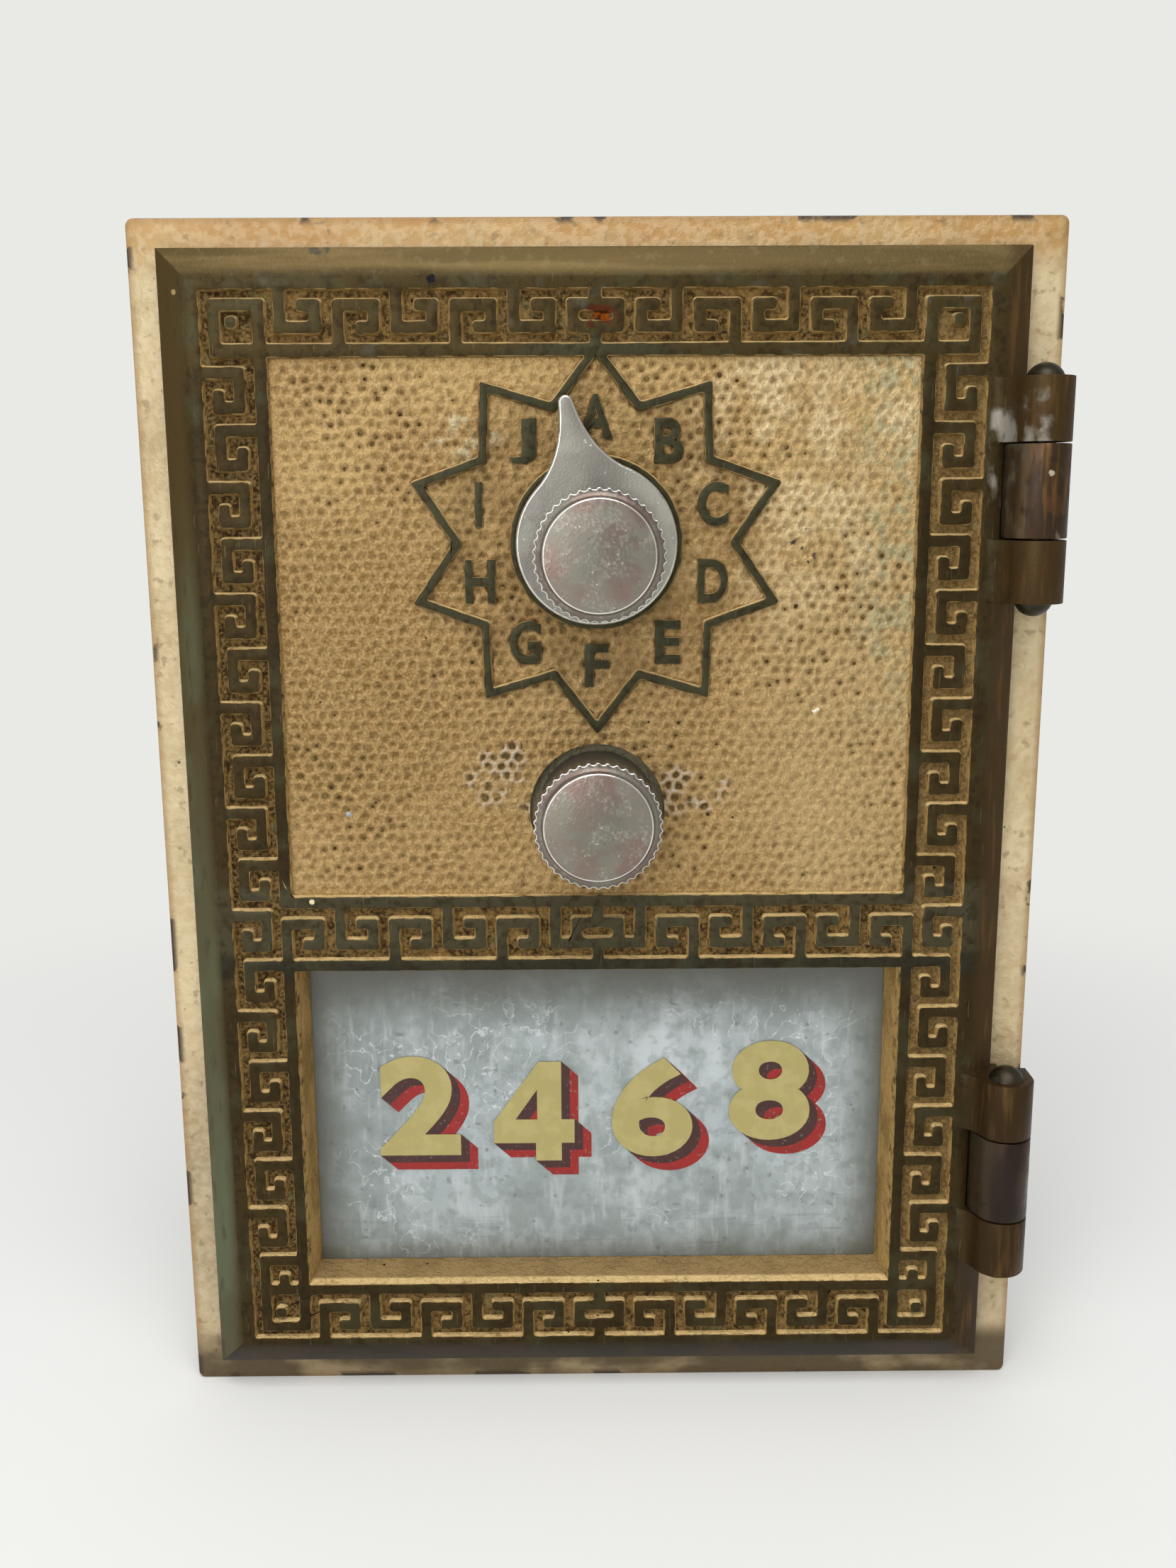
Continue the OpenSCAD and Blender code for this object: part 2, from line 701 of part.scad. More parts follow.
// A pin with a dome at each end, in one turned piece
module hinge_pin(zc) {
  dome_r = (dome_d * dome_d / 4 + dome_h * dome_h) / (2 * dome_h);
  half = hinge_len / 2;
  translate([hinge_x, -hinge_proud, zc]) {
    translate([0, 0, -half]) cylinder(d = hinge_pin_d, h = hinge_len);
    for (a = [0, 180]) rotate([a, 0, 0]) translate([0, 0, half]) intersection() {
      translate([0, 0, dome_h - dome_r]) sphere(r = dome_r);
      cylinder(d = dome_d, h = dome_h);
    }
  }
}
module upper_hinge_pin() color("dimgray") seated() hinge_pin(hinge_z);
module lower_hinge_pin() color("dimgray") seated() hinge_pin(-hinge_z);

module window_glass() color("lightsteelblue") seated()
  slab(glass_depth, glass_depth + glass_t) span(-glass_x, glass_x, glass_low, glass_top);

module glass_retainer() color("peru") seated()
  slab(glass_depth + glass_t, glass_depth + glass_t + retainer_t) difference() {
    rounded_span(-retainer_x, retainer_x, glass_low, glass_top, 1);
    span(-glass_x + retainer_lap, glass_x - retainer_lap, glass_low + retainer_lap, glass_top - retainer_lap);
    for (s = [-1, 1], z = post_rows) disc(s * post_x, z, screw_d);
  }

module retainer_screws() color("dimgray") seated()
  for (s = [-1, 1], z = post_rows) {
    slab(glass_depth + loose, glass_depth + glass_t + retainer_t + loose) disc(s * post_x, z, screw_d);
    slab(glass_depth + glass_t + retainer_t, glass_depth + glass_t + retainer_t + small_head_t)
      disc(s * post_x, z, small_head_d);
  }

module wheel_post() color("goldenrod") seated() difference() {
  union() {
    slab(post_front, post_back) disc(0, dial_z, post_d);
    slab(boss_back, boss_back + shoulder_t) disc(0, dial_z, post_d + 2 * post_shoulder);
  }
  slab(-over, post_back + over) disc(0, dial_z, spindle_d + 2 * fit);
}

module washer(y, t, d) slab(y, y + t) difference() {
  disc(0, dial_z, d);
  disc(0, dial_z, post_d);
}
module front_spacer() color("silver") seated() washer(spacer_1_y, spacer_t, post_d + 2 * washer_wall);
module rear_spacer() color("silver") seated() washer(spacer_2_y, spacer_t, post_d + 2 * washer_wall);
module post_clip() color("dimgray") seated() washer(clip_y, clip_t, post_d + 2 * clip_wall);

module latch_bushing() color("goldenrod") seated() difference() {
  union() {
    slab(well_back, boss_back + fuse) disc(0, latch_z, latch_spindle_d + 2 * bushing_wall);
    slab(boss_back, boss_back + bushing_lip_t) disc(0, latch_z, latch_spindle_d + 2 * bushing_lip);
  }
  slab(well_back - over, boss_back + bushing_lip_t + over) disc(0, latch_z, latch_spindle_d + 2 * fit);
}

module bolt_guide(x) difference() {
  slab(face_t, guide_back) span(x - guide_w / 2, x + guide_w / 2, guide_low, guide_high);
  slab(bolt_y - slide_gap, bolt_back + slide_gap) span(
    x - guide_w, x + guide_w, latch_z - bolt_h / 2 - slide_gap, latch_z + bolt_h / 2 + slide_gap);
  slab(face_t - over, guide_back + over)
    for (z = [guide_low + guide_foot / 2, guide_high - guide_foot / 2]) disc(x, z, guide_screw_d);
}
module left_bolt_guide() color("goldenrod") seated() bolt_guide(guide_at[0]);
module right_bolt_guide() color("goldenrod") seated() bolt_guide(guide_at[1]);

module guide_screws() color("dimgray") seated()
  for (p = guide_screw_at) {
    slab(face_t - guide_screw_into, guide_back + loose) disc(p[0], p[1], guide_screw_d);
    slab(guide_back, guide_back + guide_head_t) disc(p[0], p[1], guide_foot - loose);
  }

module lever_pivot_screw() color("dimgray") seated() {
  slab(pivot_thread_front, lever_y) disc(pivot_x, pivot_z, pivot_thread_d);
  slab(lever_y - side_gap, lever_y + lever_t + side_gap) disc(pivot_x, pivot_z, shoulder_d);
  slab(lever_y + lever_t + side_gap, lever_y + lever_t + side_gap + pivot_head_t)
    disc(pivot_x, pivot_z, pivot_head_d);
}

module bridge_pillars() color("goldenrod") seated() difference() {
  slab(face_t, bridge_y) for (p = pillar_at) disc(p[0], p[1], pillar_d);
  slab(bridge_y - pillar_bore, bridge_y + over) for (p = pillar_at) disc(p[0], p[1], screw_d);
}

module bridge_plate() color("goldenrod") seated() slab(bridge_y, bridge_y + bridge_t) difference() {
  rounded_span(pillar_left - bridge_margin, pillar_low[0] + bridge_margin,
               pillar_low[1] - bridge_margin, pillar_top[1] + bridge_margin, bridge_margin);
  disc(0, dial_z, 2 * (wheel_r + bridge_window));
  for (p = pillar_at) disc(p[0], p[1], screw_d);
}

module bridge_screws() color("dimgray") seated() for (p = pillar_at) {
  slab(bridge_y - bridge_screw_len, bridge_y + bridge_t + loose) disc(p[0], p[1], screw_d);
  slab(bridge_y + bridge_t, bridge_y + bridge_t + bridge_head_t) disc(p[0], p[1], bridge_head_d);
}

spring_turns = 8;
spring_rings = 10;
spring_sides = 6;
function coil_point(i) = let (u = i / (spring_turns * spring_rings), a = 360 * i / spring_rings,
  r = (spring_d - spring_wire) / 2)
  [r * cos(a), r * sin(a), spring_wire / 2 + u * (spring_top - spring_low - spring_wire)];
function coil_ring(i) = let (a = 360 * i / spring_rings, p = coil_point(i))
  [for (k = [0 : spring_sides - 1]) let (b = 360 * k / spring_sides, w = spring_wire / 2)
    p + w * [cos(a) * cos(b), sin(a) * cos(b), sin(b)]];
module latch_spring() color("gray") seated() translate([spring_x, spring_y, spring_low]) {
  n = spring_turns * spring_rings;
  points = [for (i = [0 : n]) each coil_ring(i)];
  s = spring_sides;
  polyhedron(points, concat(
    [[for (k = [s - 1 : -1 : 0]) k]],
    [for (i = [0 : n - 1], k = [0 : s - 1]) [i * s + k, i * s + (k + 1) % s, (i + 1) * s + (k + 1) % s]],
    [for (i = [0 : n - 1], k = [0 : s - 1]) [i * s + k, (i + 1) * s + (k + 1) % s, (i + 1) * s + k]],
    [[for (k = [0 : s - 1]) n * s + k]]
  ));
}

// A knob turned with a scalloped rim in front of a plain body
module knob(x, z, front, back) {
  rim_front = front + knob_bevel;
  slab(rim_front, rim_front + knob_rim_t) difference() {
    disc(x, z, knob_d);
    for (i = [0 : scallops - 1]) translate([x, z]) rotate(i * 360 / scallops)
      translate([knob_d / 2 + scallop_out, 0]) circle(d = scallop_d, $fn = 16);
  }
  slab(rim_front + knob_rim_t - fuse, back) disc(x, z, knob_body_d);
  translate([x, rim_front + fuse, z]) rotate([90, 0, 0])
    cylinder(d1 = knob_face_d + 2 * face_flare, d2 = knob_face_d, h = knob_bevel + fuse);
}

module dial_knob() color("silver") seated() difference() {
  knob(grip_x, grip_z, -dial_knob_proud, pointer_front);
  slab(pointer_front - spindle_into - side_gap, pointer_front + over) disc(0, dial_z, spindle_d);
}

// Points along an arc
function arc(x, z, r, from, to, steps) =
  [for (i = [0 : steps]) let (a = from + (to - from) * i / steps) [x + r * cos(a), z + r * sin(a)]];

// The pointer's outline, drawn pointing along Y
module pointer_outline() {
  tip_r = 1.1;
  spread = 38;
  tip = [tip_r, pointer_reach - tip_r];
  waist = [2.1, 12.8];
  foot = pointer_r * [sin(spread), cos(spread)];
  flank = [for (t = [0.125 : 0.125 : 0.875])
    (1 - t) * (1 - t) * tip + 2 * t * (1 - t) * waist + t * t * foot];
  polygon(concat(
    arc(0, tip[1], tip_r, 180, 0, 12),
    flank,
    arc(0, 0, pointer_r, 90 - spread, spread - 270, 60),
    [for (i = [6 : -1 : 0]) [-flank[i][0], flank[i][1]]]
  ));
}

module pointer_plate() color("lightgray") seated() difference() {
  union() {
    slab(pointer_front, pointer_back)
      translate([0, dial_z]) rotate(pointer_angle - 90) pointer_outline();
    slab(pointer_back - fuse, hub_back) disc(0, dial_z, hub_d);
  }
  slab(pointer_front - over, hub_back + over) disc(0, dial_z, spindle_d);
}

module dial_spindle() color("gray") seated() {
  slab(pointer_front - spindle_into, nut_y) disc(0, dial_z, spindle_d);
  slab(nut_y - fuse, spindle_back) disc(0, dial_z, spindle_d - 2 * spindle_step);
}

function fly_at(a) = [fly_r * cos(a), dial_z + fly_r * sin(a)];
module fly_pin(y0, y1, a) slab(y0, y1) disc(fly_at(a)[0], fly_at(a)[1], fly_d);

module drive_cam() color("goldenrod") seated() slab(drive_y, drive_y + drive_t) difference() {
  disc(0, dial_z, 2 * drive_r);
  disc(0, dial_z, spindle_d);
  disc(fly_at(rear_pin_angle + wheel_gap_angle)[0], fly_at(rear_pin_angle + wheel_gap_angle)[1], fly_d);
}
module drive_pin() color("gray") seated()
  fly_pin(drive_y - drive_reach - side_gap, drive_y + drive_t, rear_pin_angle + wheel_gap_angle);

module cam_nut() color("dimgray") seated() slab(nut_y, nut_y + nut_t) difference() {
  translate([0, dial_z]) circle(d = nut_d, $fn = 6);
  disc(0, dial_z, spindle_d - 2 * spindle_step);
}

module wheel(y, pins) slab(y, y + wheel_t) difference() {
  disc(0, dial_z, 2 * wheel_r);
  disc(0, dial_z, post_d + 2 * fit);
  for (s = [0, 1]) translate([0, dial_z]) mirror([0, s])
    span(-gate_w / 2, gate_w / 2, -wheel_r - over, gate_depth - wheel_r);
  for (a = pins) disc(fly_at(a)[0], fly_at(a)[1], fly_d);
}
module front_wheel() color("khaki") seated() wheel(wheel_1_y, [front_pin_angle]);
module front_wheel_pin() color("gray") seated()
  fly_pin(wheel_1_y, wheel_1_y + wheel_t + fly_reach, front_pin_angle);
module middle_wheel() color("khaki") seated()
  wheel(wheel_2_y, [front_pin_angle + wheel_gap_angle, middle_pin_angle]);
module middle_wheel_pins() color("gray") seated() {
  fly_pin(wheel_2_y - fly_reach, wheel_2_y + wheel_t, front_pin_angle + wheel_gap_angle);
  fly_pin(wheel_2_y, wheel_2_y + wheel_t + fly_reach, middle_pin_angle);
}
module rear_wheel() color("khaki") seated()
  wheel(wheel_3_y, [middle_pin_angle + wheel_gap_angle, rear_pin_angle]);
module rear_wheel_pins() color("gray") seated() {
  fly_pin(wheel_3_y - fly_reach, wheel_3_y + wheel_t, middle_pin_angle + wheel_gap_angle);
  fly_pin(wheel_3_y, wheel_3_y + wheel_t + drive_reach, rear_pin_angle);
}

module latch_knob() color("silver") seated() difference() {
  knob(0, latch_z, -latch_knob_proud, well_back - knob_well_gap);
  slab(latch_spindle_front, well_back + over) disc(0, latch_z, latch_spindle_d);
}

module latch_spindle() color("gray") seated()
  slab(latch_spindle_front, cam_y + cam_t) disc(0, latch_z, latch_spindle_d);

crank_x = crank_r * cos(crank_start);
crank_z = latch_z + crank_r * sin(crank_start);
cam_hub_d = 11;
crank_arm_w = 5.2;

// An arm of the latch cam with a round end
module cam_arm(angle, reach, width) translate([0, latch_z]) rotate(angle) {
  translate([0, -width / 2]) square([reach, width]);
  disc(reach, 0, width);
}

module latch_cam() color("goldenrod") seated() slab(cam_y, cam_y + cam_t) difference() {
  union() {
    disc(0, latch_z, cam_hub_d);
    cam_arm(crank_start, crank_r, crank_arm_w);
    cam_arm(spring_arm_angle, spring_arm_r, spring_arm_w);
  }
  disc(0, latch_z, latch_spindle_d);
  disc(crank_x, crank_z, crank_d);
}
module crank_pin() color("gray") seated() slab(cam_y, bolt_back - side_gap) disc(crank_x, crank_z, crank_d);

module latch_bolt() color("goldenrod") seated() difference() {
  slot_half = lever_pin_d / 2 + slide_gap + fit;
  wall = 1.4;
  nose = [2.7, 0.9];
  crank_wall = 1.6;
  crank_roof = 3.1;
  shoulder_top = latch_z + crank_r + crank_d / 2 + crank_roof;
  union() {
    translate([0, 0, latch_z - bolt_h / 2]) linear_extrude(bolt_h) polygon([
      [bolt_tip, bolt_y], [bolt_tail, bolt_y], [bolt_tail, bolt_back],
      [bolt_tip + nose[0], bolt_back], [bolt_tip, bolt_y + nose[1]]
    ]);
    slab(bolt_y, bolt_back) {
      span(crank_x - crank_d - crank_wall, lever_pin_x + slot_half + wall,
           latch_z + bolt_h / 2 - fuse, shoulder_top);
      span(pin_end_x - slot_half - wall, lever_pin_x + slot_half + wall,
           latch_z + bolt_h / 2 - fuse, pin_end_z + slot_half + wall);
    }
  }
  slab(bolt_y - over, bolt_back + over) {
    span(crank_x - crank_d / 2 - slide_gap, crank_x + crank_d / 2 + slide_gap,
         crank_z - crank_d / 2 - slide_gap, latch_z + crank_r + crank_d / 2 + slide_gap);
    lean = atan2(pin_end_z - lever_pin_z, pin_end_x - lever_pin_x);
    polygon(concat(
      arc(lever_pin_x, lever_pin_z, slot_half, lean - 90, lean - 270, 16),
      arc(pin_end_x, pin_end_z, slot_half, lean + 90, lean - 90, 16)
    ));
  }
}

module fence_lever() color("goldenrod") seated() difference() {
  nose_rise = 2.8;
  arm_w = 3.9;
  arm_top = nose_top - nose_rise;
  arm_low = arm_top - arm_w;
  nose_h = 5.2;
  pivot_eye_d = 9;
  pin_eye_d = 6;
  gusset = 4;
  union() {
    slab(lever_y, lever_y + lever_t) {
      disc(pivot_x, pivot_z, pivot_eye_d);
      span(-nose_half, pivot_x, arm_low, arm_top);
      disc(lever_pin_x, lever_pin_z, pin_eye_d);
      polygon([[lever_pin_x - pin_eye_d / 2, lever_pin_z], [lever_pin_x + pin_eye_d / 2, lever_pin_z],
               [lever_pin_x + pin_eye_d / 2 + gusset, arm_top], [lever_pin_x - pin_eye_d / 2, arm_top]]);
    }
    slab(wheel_1_y - side_gap, lever_y + lever_t) span(-nose_half, nose_half, nose_top - nose_h, nose_top);
  }
  slab(lever_y - over, lever_y + lever_t + over) {
    disc(pivot_x, pivot_z, shoulder_d + 2 * fit);
    disc(lever_pin_x, lever_pin_z, lever_pin_d);
  }
}
module lever_pin() color("gray") seated()
  slab(bolt_y + side_gap, lever_y + lever_t) disc(lever_pin_x, lever_pin_z, lever_pin_d);

frame_plate();
upper_frame_knuckle();
lower_frame_knuckle();
knuckle_screws();
door_casting();
upper_hinge_pin();
lower_hinge_pin();
window_glass();
glass_retainer();
retainer_screws();
wheel_post();
front_spacer();
rear_spacer();
post_clip();
latch_bushing();
left_bolt_guide();
right_bolt_guide();
guide_screws();
lever_pivot_screw();
bridge_pillars();
bridge_plate();
bridge_screws();
latch_spring();
dial_knob();
pointer_plate();
dial_spindle();
drive_cam();
drive_pin();
cam_nut();
front_wheel();
front_wheel_pin();
middle_wheel();
middle_wheel_pins();
rear_wheel();
rear_wheel_pins();
latch_knob();
latch_spindle();
latch_cam();
crank_pin();
latch_bolt();
fence_lever();
lever_pin();
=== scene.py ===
"""The looks of a post office box door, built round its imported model.

The casting, the plate, the hinges, the dial and the knobs are dressed with copies of
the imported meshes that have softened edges, and the hammered panel, the letters and the
painted number are made here. Sizes are in millimetres until a mesh is finished.
"""
import logging
import math
from collections.abc import Callable, Sequence
from dataclasses import dataclass, field, replace
from enum import Enum

import bmesh
import bpy
import numpy as np
from mathutils import Euler, Matrix, Vector
from mathutils.geometry import delaunay_2d_cdt


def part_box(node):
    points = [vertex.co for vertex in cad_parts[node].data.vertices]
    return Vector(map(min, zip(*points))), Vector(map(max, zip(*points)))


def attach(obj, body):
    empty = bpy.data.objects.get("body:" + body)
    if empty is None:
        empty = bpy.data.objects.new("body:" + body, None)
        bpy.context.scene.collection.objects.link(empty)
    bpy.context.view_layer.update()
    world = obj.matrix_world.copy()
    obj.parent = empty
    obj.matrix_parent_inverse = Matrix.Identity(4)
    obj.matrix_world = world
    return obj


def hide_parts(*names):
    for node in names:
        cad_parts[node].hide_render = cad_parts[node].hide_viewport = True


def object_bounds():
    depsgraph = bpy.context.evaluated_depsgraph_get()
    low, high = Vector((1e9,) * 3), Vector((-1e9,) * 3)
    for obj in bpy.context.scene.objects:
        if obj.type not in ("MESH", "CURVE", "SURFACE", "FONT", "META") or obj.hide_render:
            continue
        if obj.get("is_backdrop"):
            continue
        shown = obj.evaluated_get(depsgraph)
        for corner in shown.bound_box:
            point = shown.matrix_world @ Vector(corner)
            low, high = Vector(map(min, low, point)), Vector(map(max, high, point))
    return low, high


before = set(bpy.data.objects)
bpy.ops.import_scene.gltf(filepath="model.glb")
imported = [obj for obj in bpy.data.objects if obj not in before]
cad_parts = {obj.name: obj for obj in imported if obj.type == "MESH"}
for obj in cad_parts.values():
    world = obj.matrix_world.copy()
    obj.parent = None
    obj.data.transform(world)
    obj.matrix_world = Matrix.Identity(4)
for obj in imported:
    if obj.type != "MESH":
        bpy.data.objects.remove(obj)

MM = 0.001  # metres in a millimetre
# Lengths in millimetres
MERGED = 0.002  # vertices closer than this are one
SHORTEST = 0.02  # edges shorter than this stay sharp
FLATNESS = 0.0003  # how far the vertices of a flat face may stray
LEVEL = 0.02  # how far a vertex may lie from a level and still be on it
SLACK = 0.1  # play when the relief's edges are sought
GLASS_DEPTH = 6.5  # how far the glass lies behind the door's face
# Shapes
FLAT_ANGLE = 0.3  # faces that meet at less than this become one, in degrees
SAME_WAY = 0.99999  # the least cosine between the normals of one plane
UPRIGHT = 0.1  # the most that a wall's normal leans to the front
MOST_CORNERS = 8  # a flat face with more corners may have holes
TOUCHING = 1e-6  # points closer than this are one when a face is filled

LOG = logging.getLogger("box_door")
Socket = bpy.types.NodeSocket
Material = bpy.types.Material
Mesh = bmesh.types.BMesh
Edge = bmesh.types.BMEdge
Face = bmesh.types.BMFace
Mask = Socket | float
Colour = tuple[float, float, float, float]


class Body(str, Enum):
    """The moving bodies that carry pieces made here."""

    FRAME = "frame"
    DOOR = "door"
    DIAL = "dial"
    LATCH = "latch"


def linear(code: str) -> Colour:
    """Turns an sRGB hex colour into linear values.

    Args:
        code: the colour, such as "#c0a070".

    Returns:
        The linear red, green and blue, and an alpha of one.
    """
    parts = [int(code[i : i + 2], 16) / 255 for i in (1, 3, 5)]
    red, green, blue = (p / 12.92 if p <= 0.04045 else ((p + 0.055) / 1.055) ** 2.4 for p in parts)
    return red, green, blue, 1.0


def low_corner(node: str) -> Vector:
    """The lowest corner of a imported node, in millimetres."""
    return Vector(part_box(node)[0]) / MM


def high_corner(node: str) -> Vector:
    """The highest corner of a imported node, in millimetres."""
    return Vector(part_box(node)[1]) / MM


# Materials


class Finish:
    """A material being mixed, with the patterns that several finishes share.

    A mask is a number or a socket from zero to one, and places are in millimetres.
    """

    def __init__(self, name: str) -> None:
        """Starts an empty material.

        Args:
            name: what the finish is called.
        """
        self.material = bpy.data.materials.new(name)
        self.material.use_nodes = True
        self.tree = self.material.node_tree
        self.tree.nodes.clear()
        where = self.add("ShaderNodeTexCoord").outputs
        scaled = self.add(
            "ShaderNodeVectorMath", {0: where["Object"], "Scale": 1 / MM}, operation="SCALE"
        )
        self.place = scaled.outputs[0]
        self.x, self.y, self.z = self.parts(self.place)
        self.normal = where["Normal"]

    def add(self, kind: str, inputs: dict | None = None, **settings: object) -> bpy.types.Node:
        """Adds a node with its settings and links.

        Args:
            kind: the node's type.
            inputs: a value or a socket for each input, by name or number.
            settings: the node's own settings.

        Returns:
            The new node.
        """
        node = self.tree.nodes.new(kind)
        for name, value in settings.items():
            setattr(node, name, value)
        for key, value in (inputs or {}).items():
            if isinstance(value, Socket):
                self.tree.links.new(value, node.inputs[key])
            else:
                node.inputs[key].default_value = value
        return node

    def parts(self, vector: Socket) -> Sequence[Socket]:
        """A vector's X, Y and Z."""
        return self.add("ShaderNodeSeparateXYZ", {0: vector}).outputs

    def math(self, operation: str, *values: Mask) -> Socket:
        """The result of a sum, such as "MULTIPLY", on its values."""
        return self.add("ShaderNodeMath", dict(enumerate(values)), operation=operation).outputs[0]

    def vectors(self, operation: str, *values: object) -> Socket:
        """The result of a vector sum, which is a number for "LENGTH"."""
        outputs = self.add(
            "ShaderNodeVectorMath", dict(enumerate(values)), operation=operation
        ).outputs
        return outputs["Value" if operation == "LENGTH" else "Vector"]

    def both(self, *masks: Mask) -> Mask:
        """The masks multiplied together."""
        product = masks[0]
        for mask in masks[1:]:
            product = self.math("MULTIPLY", product, mask)
        return product

    def invert(self, mask: Socket) -> Socket:
        """One where the mask is zero, and the other way round."""
        return self.math("SUBTRACT", 1.0, mask)

    def size_of(self, value: Socket) -> Socket:
        """A value without its sign."""
        return self.math("ABSOLUTE", value)

    def ramp(self, value: Socket, start: float, full: float) -> Socket:
        """Turns a value into a soft mask that is zero at start and one at full."""
        node = self.add(
            "ShaderNodeMapRange",
            {"Value": value, "From Min": start, "From Max": full},
            interpolation_type="SMOOTHSTEP",
        )
        return node.outputs[0]

    def between(self, value: Socket, low: float, high: float, blur: float = 0.1) -> Socket:
        """A mask that is one where a value lies between two limits."""
        above = self.ramp(value, low - blur, low + blur)
        below = self.ramp(value, high + blur, high - blur)
        return self.both(above, below)

    def mapped(self, scale: Sequence[float], shift: float) -> Socket:
        """The place, scaled along each axis and then moved."""
        inputs = {"Vector": self.place, "Location": [shift] * 3, "Scale": scale}
        return self.add("ShaderNodeMapping", inputs).outputs[0]

    def mottle(
        self,
        size: float,
        start: float,
        full: float,
        stretch: tuple[float, float, float] = (1, 1, 1),
        detail: float = 4,
        shift: float = 0,
    ) -> Socket:
        """Irregular patches.

        Args:
            size: how far apart the patches are, in millimetres.
            start: noise value, about 0.3 to 0.7, at which a patch starts.
            full: noise value at which it is full.
            stretch: how many times longer the patches are along each axis.
            detail: how many finer layers are added.
            shift: moves the pattern, so that two of one size differ.

        Returns:
            A mask from zero to one.
        """
        place = self.mapped([1 / (size * s) for s in stretch], shift)
        noise = self.add("ShaderNodeTexNoise", {"Vector": place, "Scale": 1, "Detail": detail})
        return self.ramp(noise.outputs[0], start, full)

    def specks(self, spacing: float, radius: float, share: float, shift: float = 0) -> Socket:
        """Small round spots, with a share of the places left bare.

        Args:
            spacing: distance between the places, in millimetres.
            radius: radius of a spot, in millimetres.
            share: the share of places that have a spot.
            shift: moves the pattern.

        Returns:
            A mask from zero to one.
        """
        place = self.mapped([1 / spacing] * 3, shift)
        cells = self.add("ShaderNodeTexVoronoi", {"Vector": place, "Scale": 1})
        lot = self.add("ShaderNodeSeparateColor", {0: cells.outputs["Color"]}).outputs[0]
        spot = self.ramp(cells.outputs["Distance"], radius / spacing, 0.5 * radius / spacing)
        return self.both(spot, self.ramp(lot, 1 - share, 1.02 - share))

    def radius(self, x: float, z: float) -> Socket:
        """The distance from an axis that runs front to back, in millimetres."""
        offset = self.vectors("SUBTRACT", self.place, (x, 0, z))
        return self.vectors("LENGTH", self.vectors("MULTIPLY", offset, (1, 0, 1)))

    def spot(self, x: float, z: float, reach: float, ragged: float = 0.7) -> Socket:
        """A patch with a ragged edge at one place.

        Args:
            x: its centre along X, in millimetres.
            z: its centre along Z, in millimetres.
            reach: its radius, in millimetres.
            ragged: how far its edge wanders, as a share of the radius.

        Returns:
            A mask from zero to one.
        """
        fray = self.mottle(reach * 0.7, 0.3, 0.7, detail=6, shift=x)
        distance = self.math("MULTIPLY_ADD", fray, reach * ragged, self.radius(x, z))
        return self.ramp(distance, reach, reach * 0.7)

    def crevice_shade(self, reach: float, start: float, full: float) -> Socket:
        """A mask of corners and grooves, by how little open sky they see, for painted shade and
        soiling.

        Args:
            reach: how far a wall may be, in millimetres.
            start: share of open sky at which the mask starts.
            full: share of open sky at which it is full.

        Returns:
            A mask from zero to one.
        """
        sky = self.add("ShaderNodeAmbientOcclusion", {"Distance": reach * MM}, samples=6)
        return self.ramp(sky.outputs["AO"], start, full)

    def coats(self, base: str, *layers: tuple[str | Mask, ...]) -> Socket:
        """Lays coats of colour over a base, in order.

        Args:
            base: the colour under everything.
            layers: the coats, the lowest first. Each is a colour and the masks that,
                multiplied, say where it lies and how thickly.

        Returns:
            The colour that shows.
        """
        colour: Socket | Colour = linear(base)
        for tint, *masks in layers:
            inputs = {0: self.both(*masks), 6: colour, 7: linear(tint)}
            colour = self.add("ShaderNodeMix", inputs, data_type="RGBA").outputs[2]
        return colour

    def relief(self, *layers: tuple[Socket, float]) -> Socket:
        """Stacks fine relief.

        Args:
            layers: a height mask and its height in millimetres, for each layer.

        Returns:
            The normal.
        """
        normal: Socket | None = None
        for height, depth in layers:
            inputs = {"Height": height, "Distance": depth * MM, "Strength": 1.0}
            if normal is not None:
                inputs["Normal"] = normal
            normal = self.add("ShaderNodeBump", inputs).outputs[0]
        return normal

    def vary(self, mask: Socket, low: float, high: float) -> Socket:
        """A number that goes from low to high with a mask."""
        inputs = {"Value": mask, "To Min": low, "To Max": high}
        return self.add("ShaderNodeMapRange", inputs).outputs[0]

    def done(self, colour: Socket, rough: Mask, **sockets: Mask) -> Material:
        """Ends the material.

        Args:
            colour: the surface's colour.
            rough: its roughness.
            sockets: other inputs of the shader, with underscores for spaces.

        Returns:
            The material.
        """
        inputs = {"Base Color": colour, "Roughness": rough}
        inputs |= {name.replace("_", " "): value for name, value in sockets.items()}
        surface = self.add("ShaderNodeBsdfPrincipled", inputs)
        self.add("ShaderNodeOutputMaterial", {"Surface": surface.outputs[0]})
        return self.material


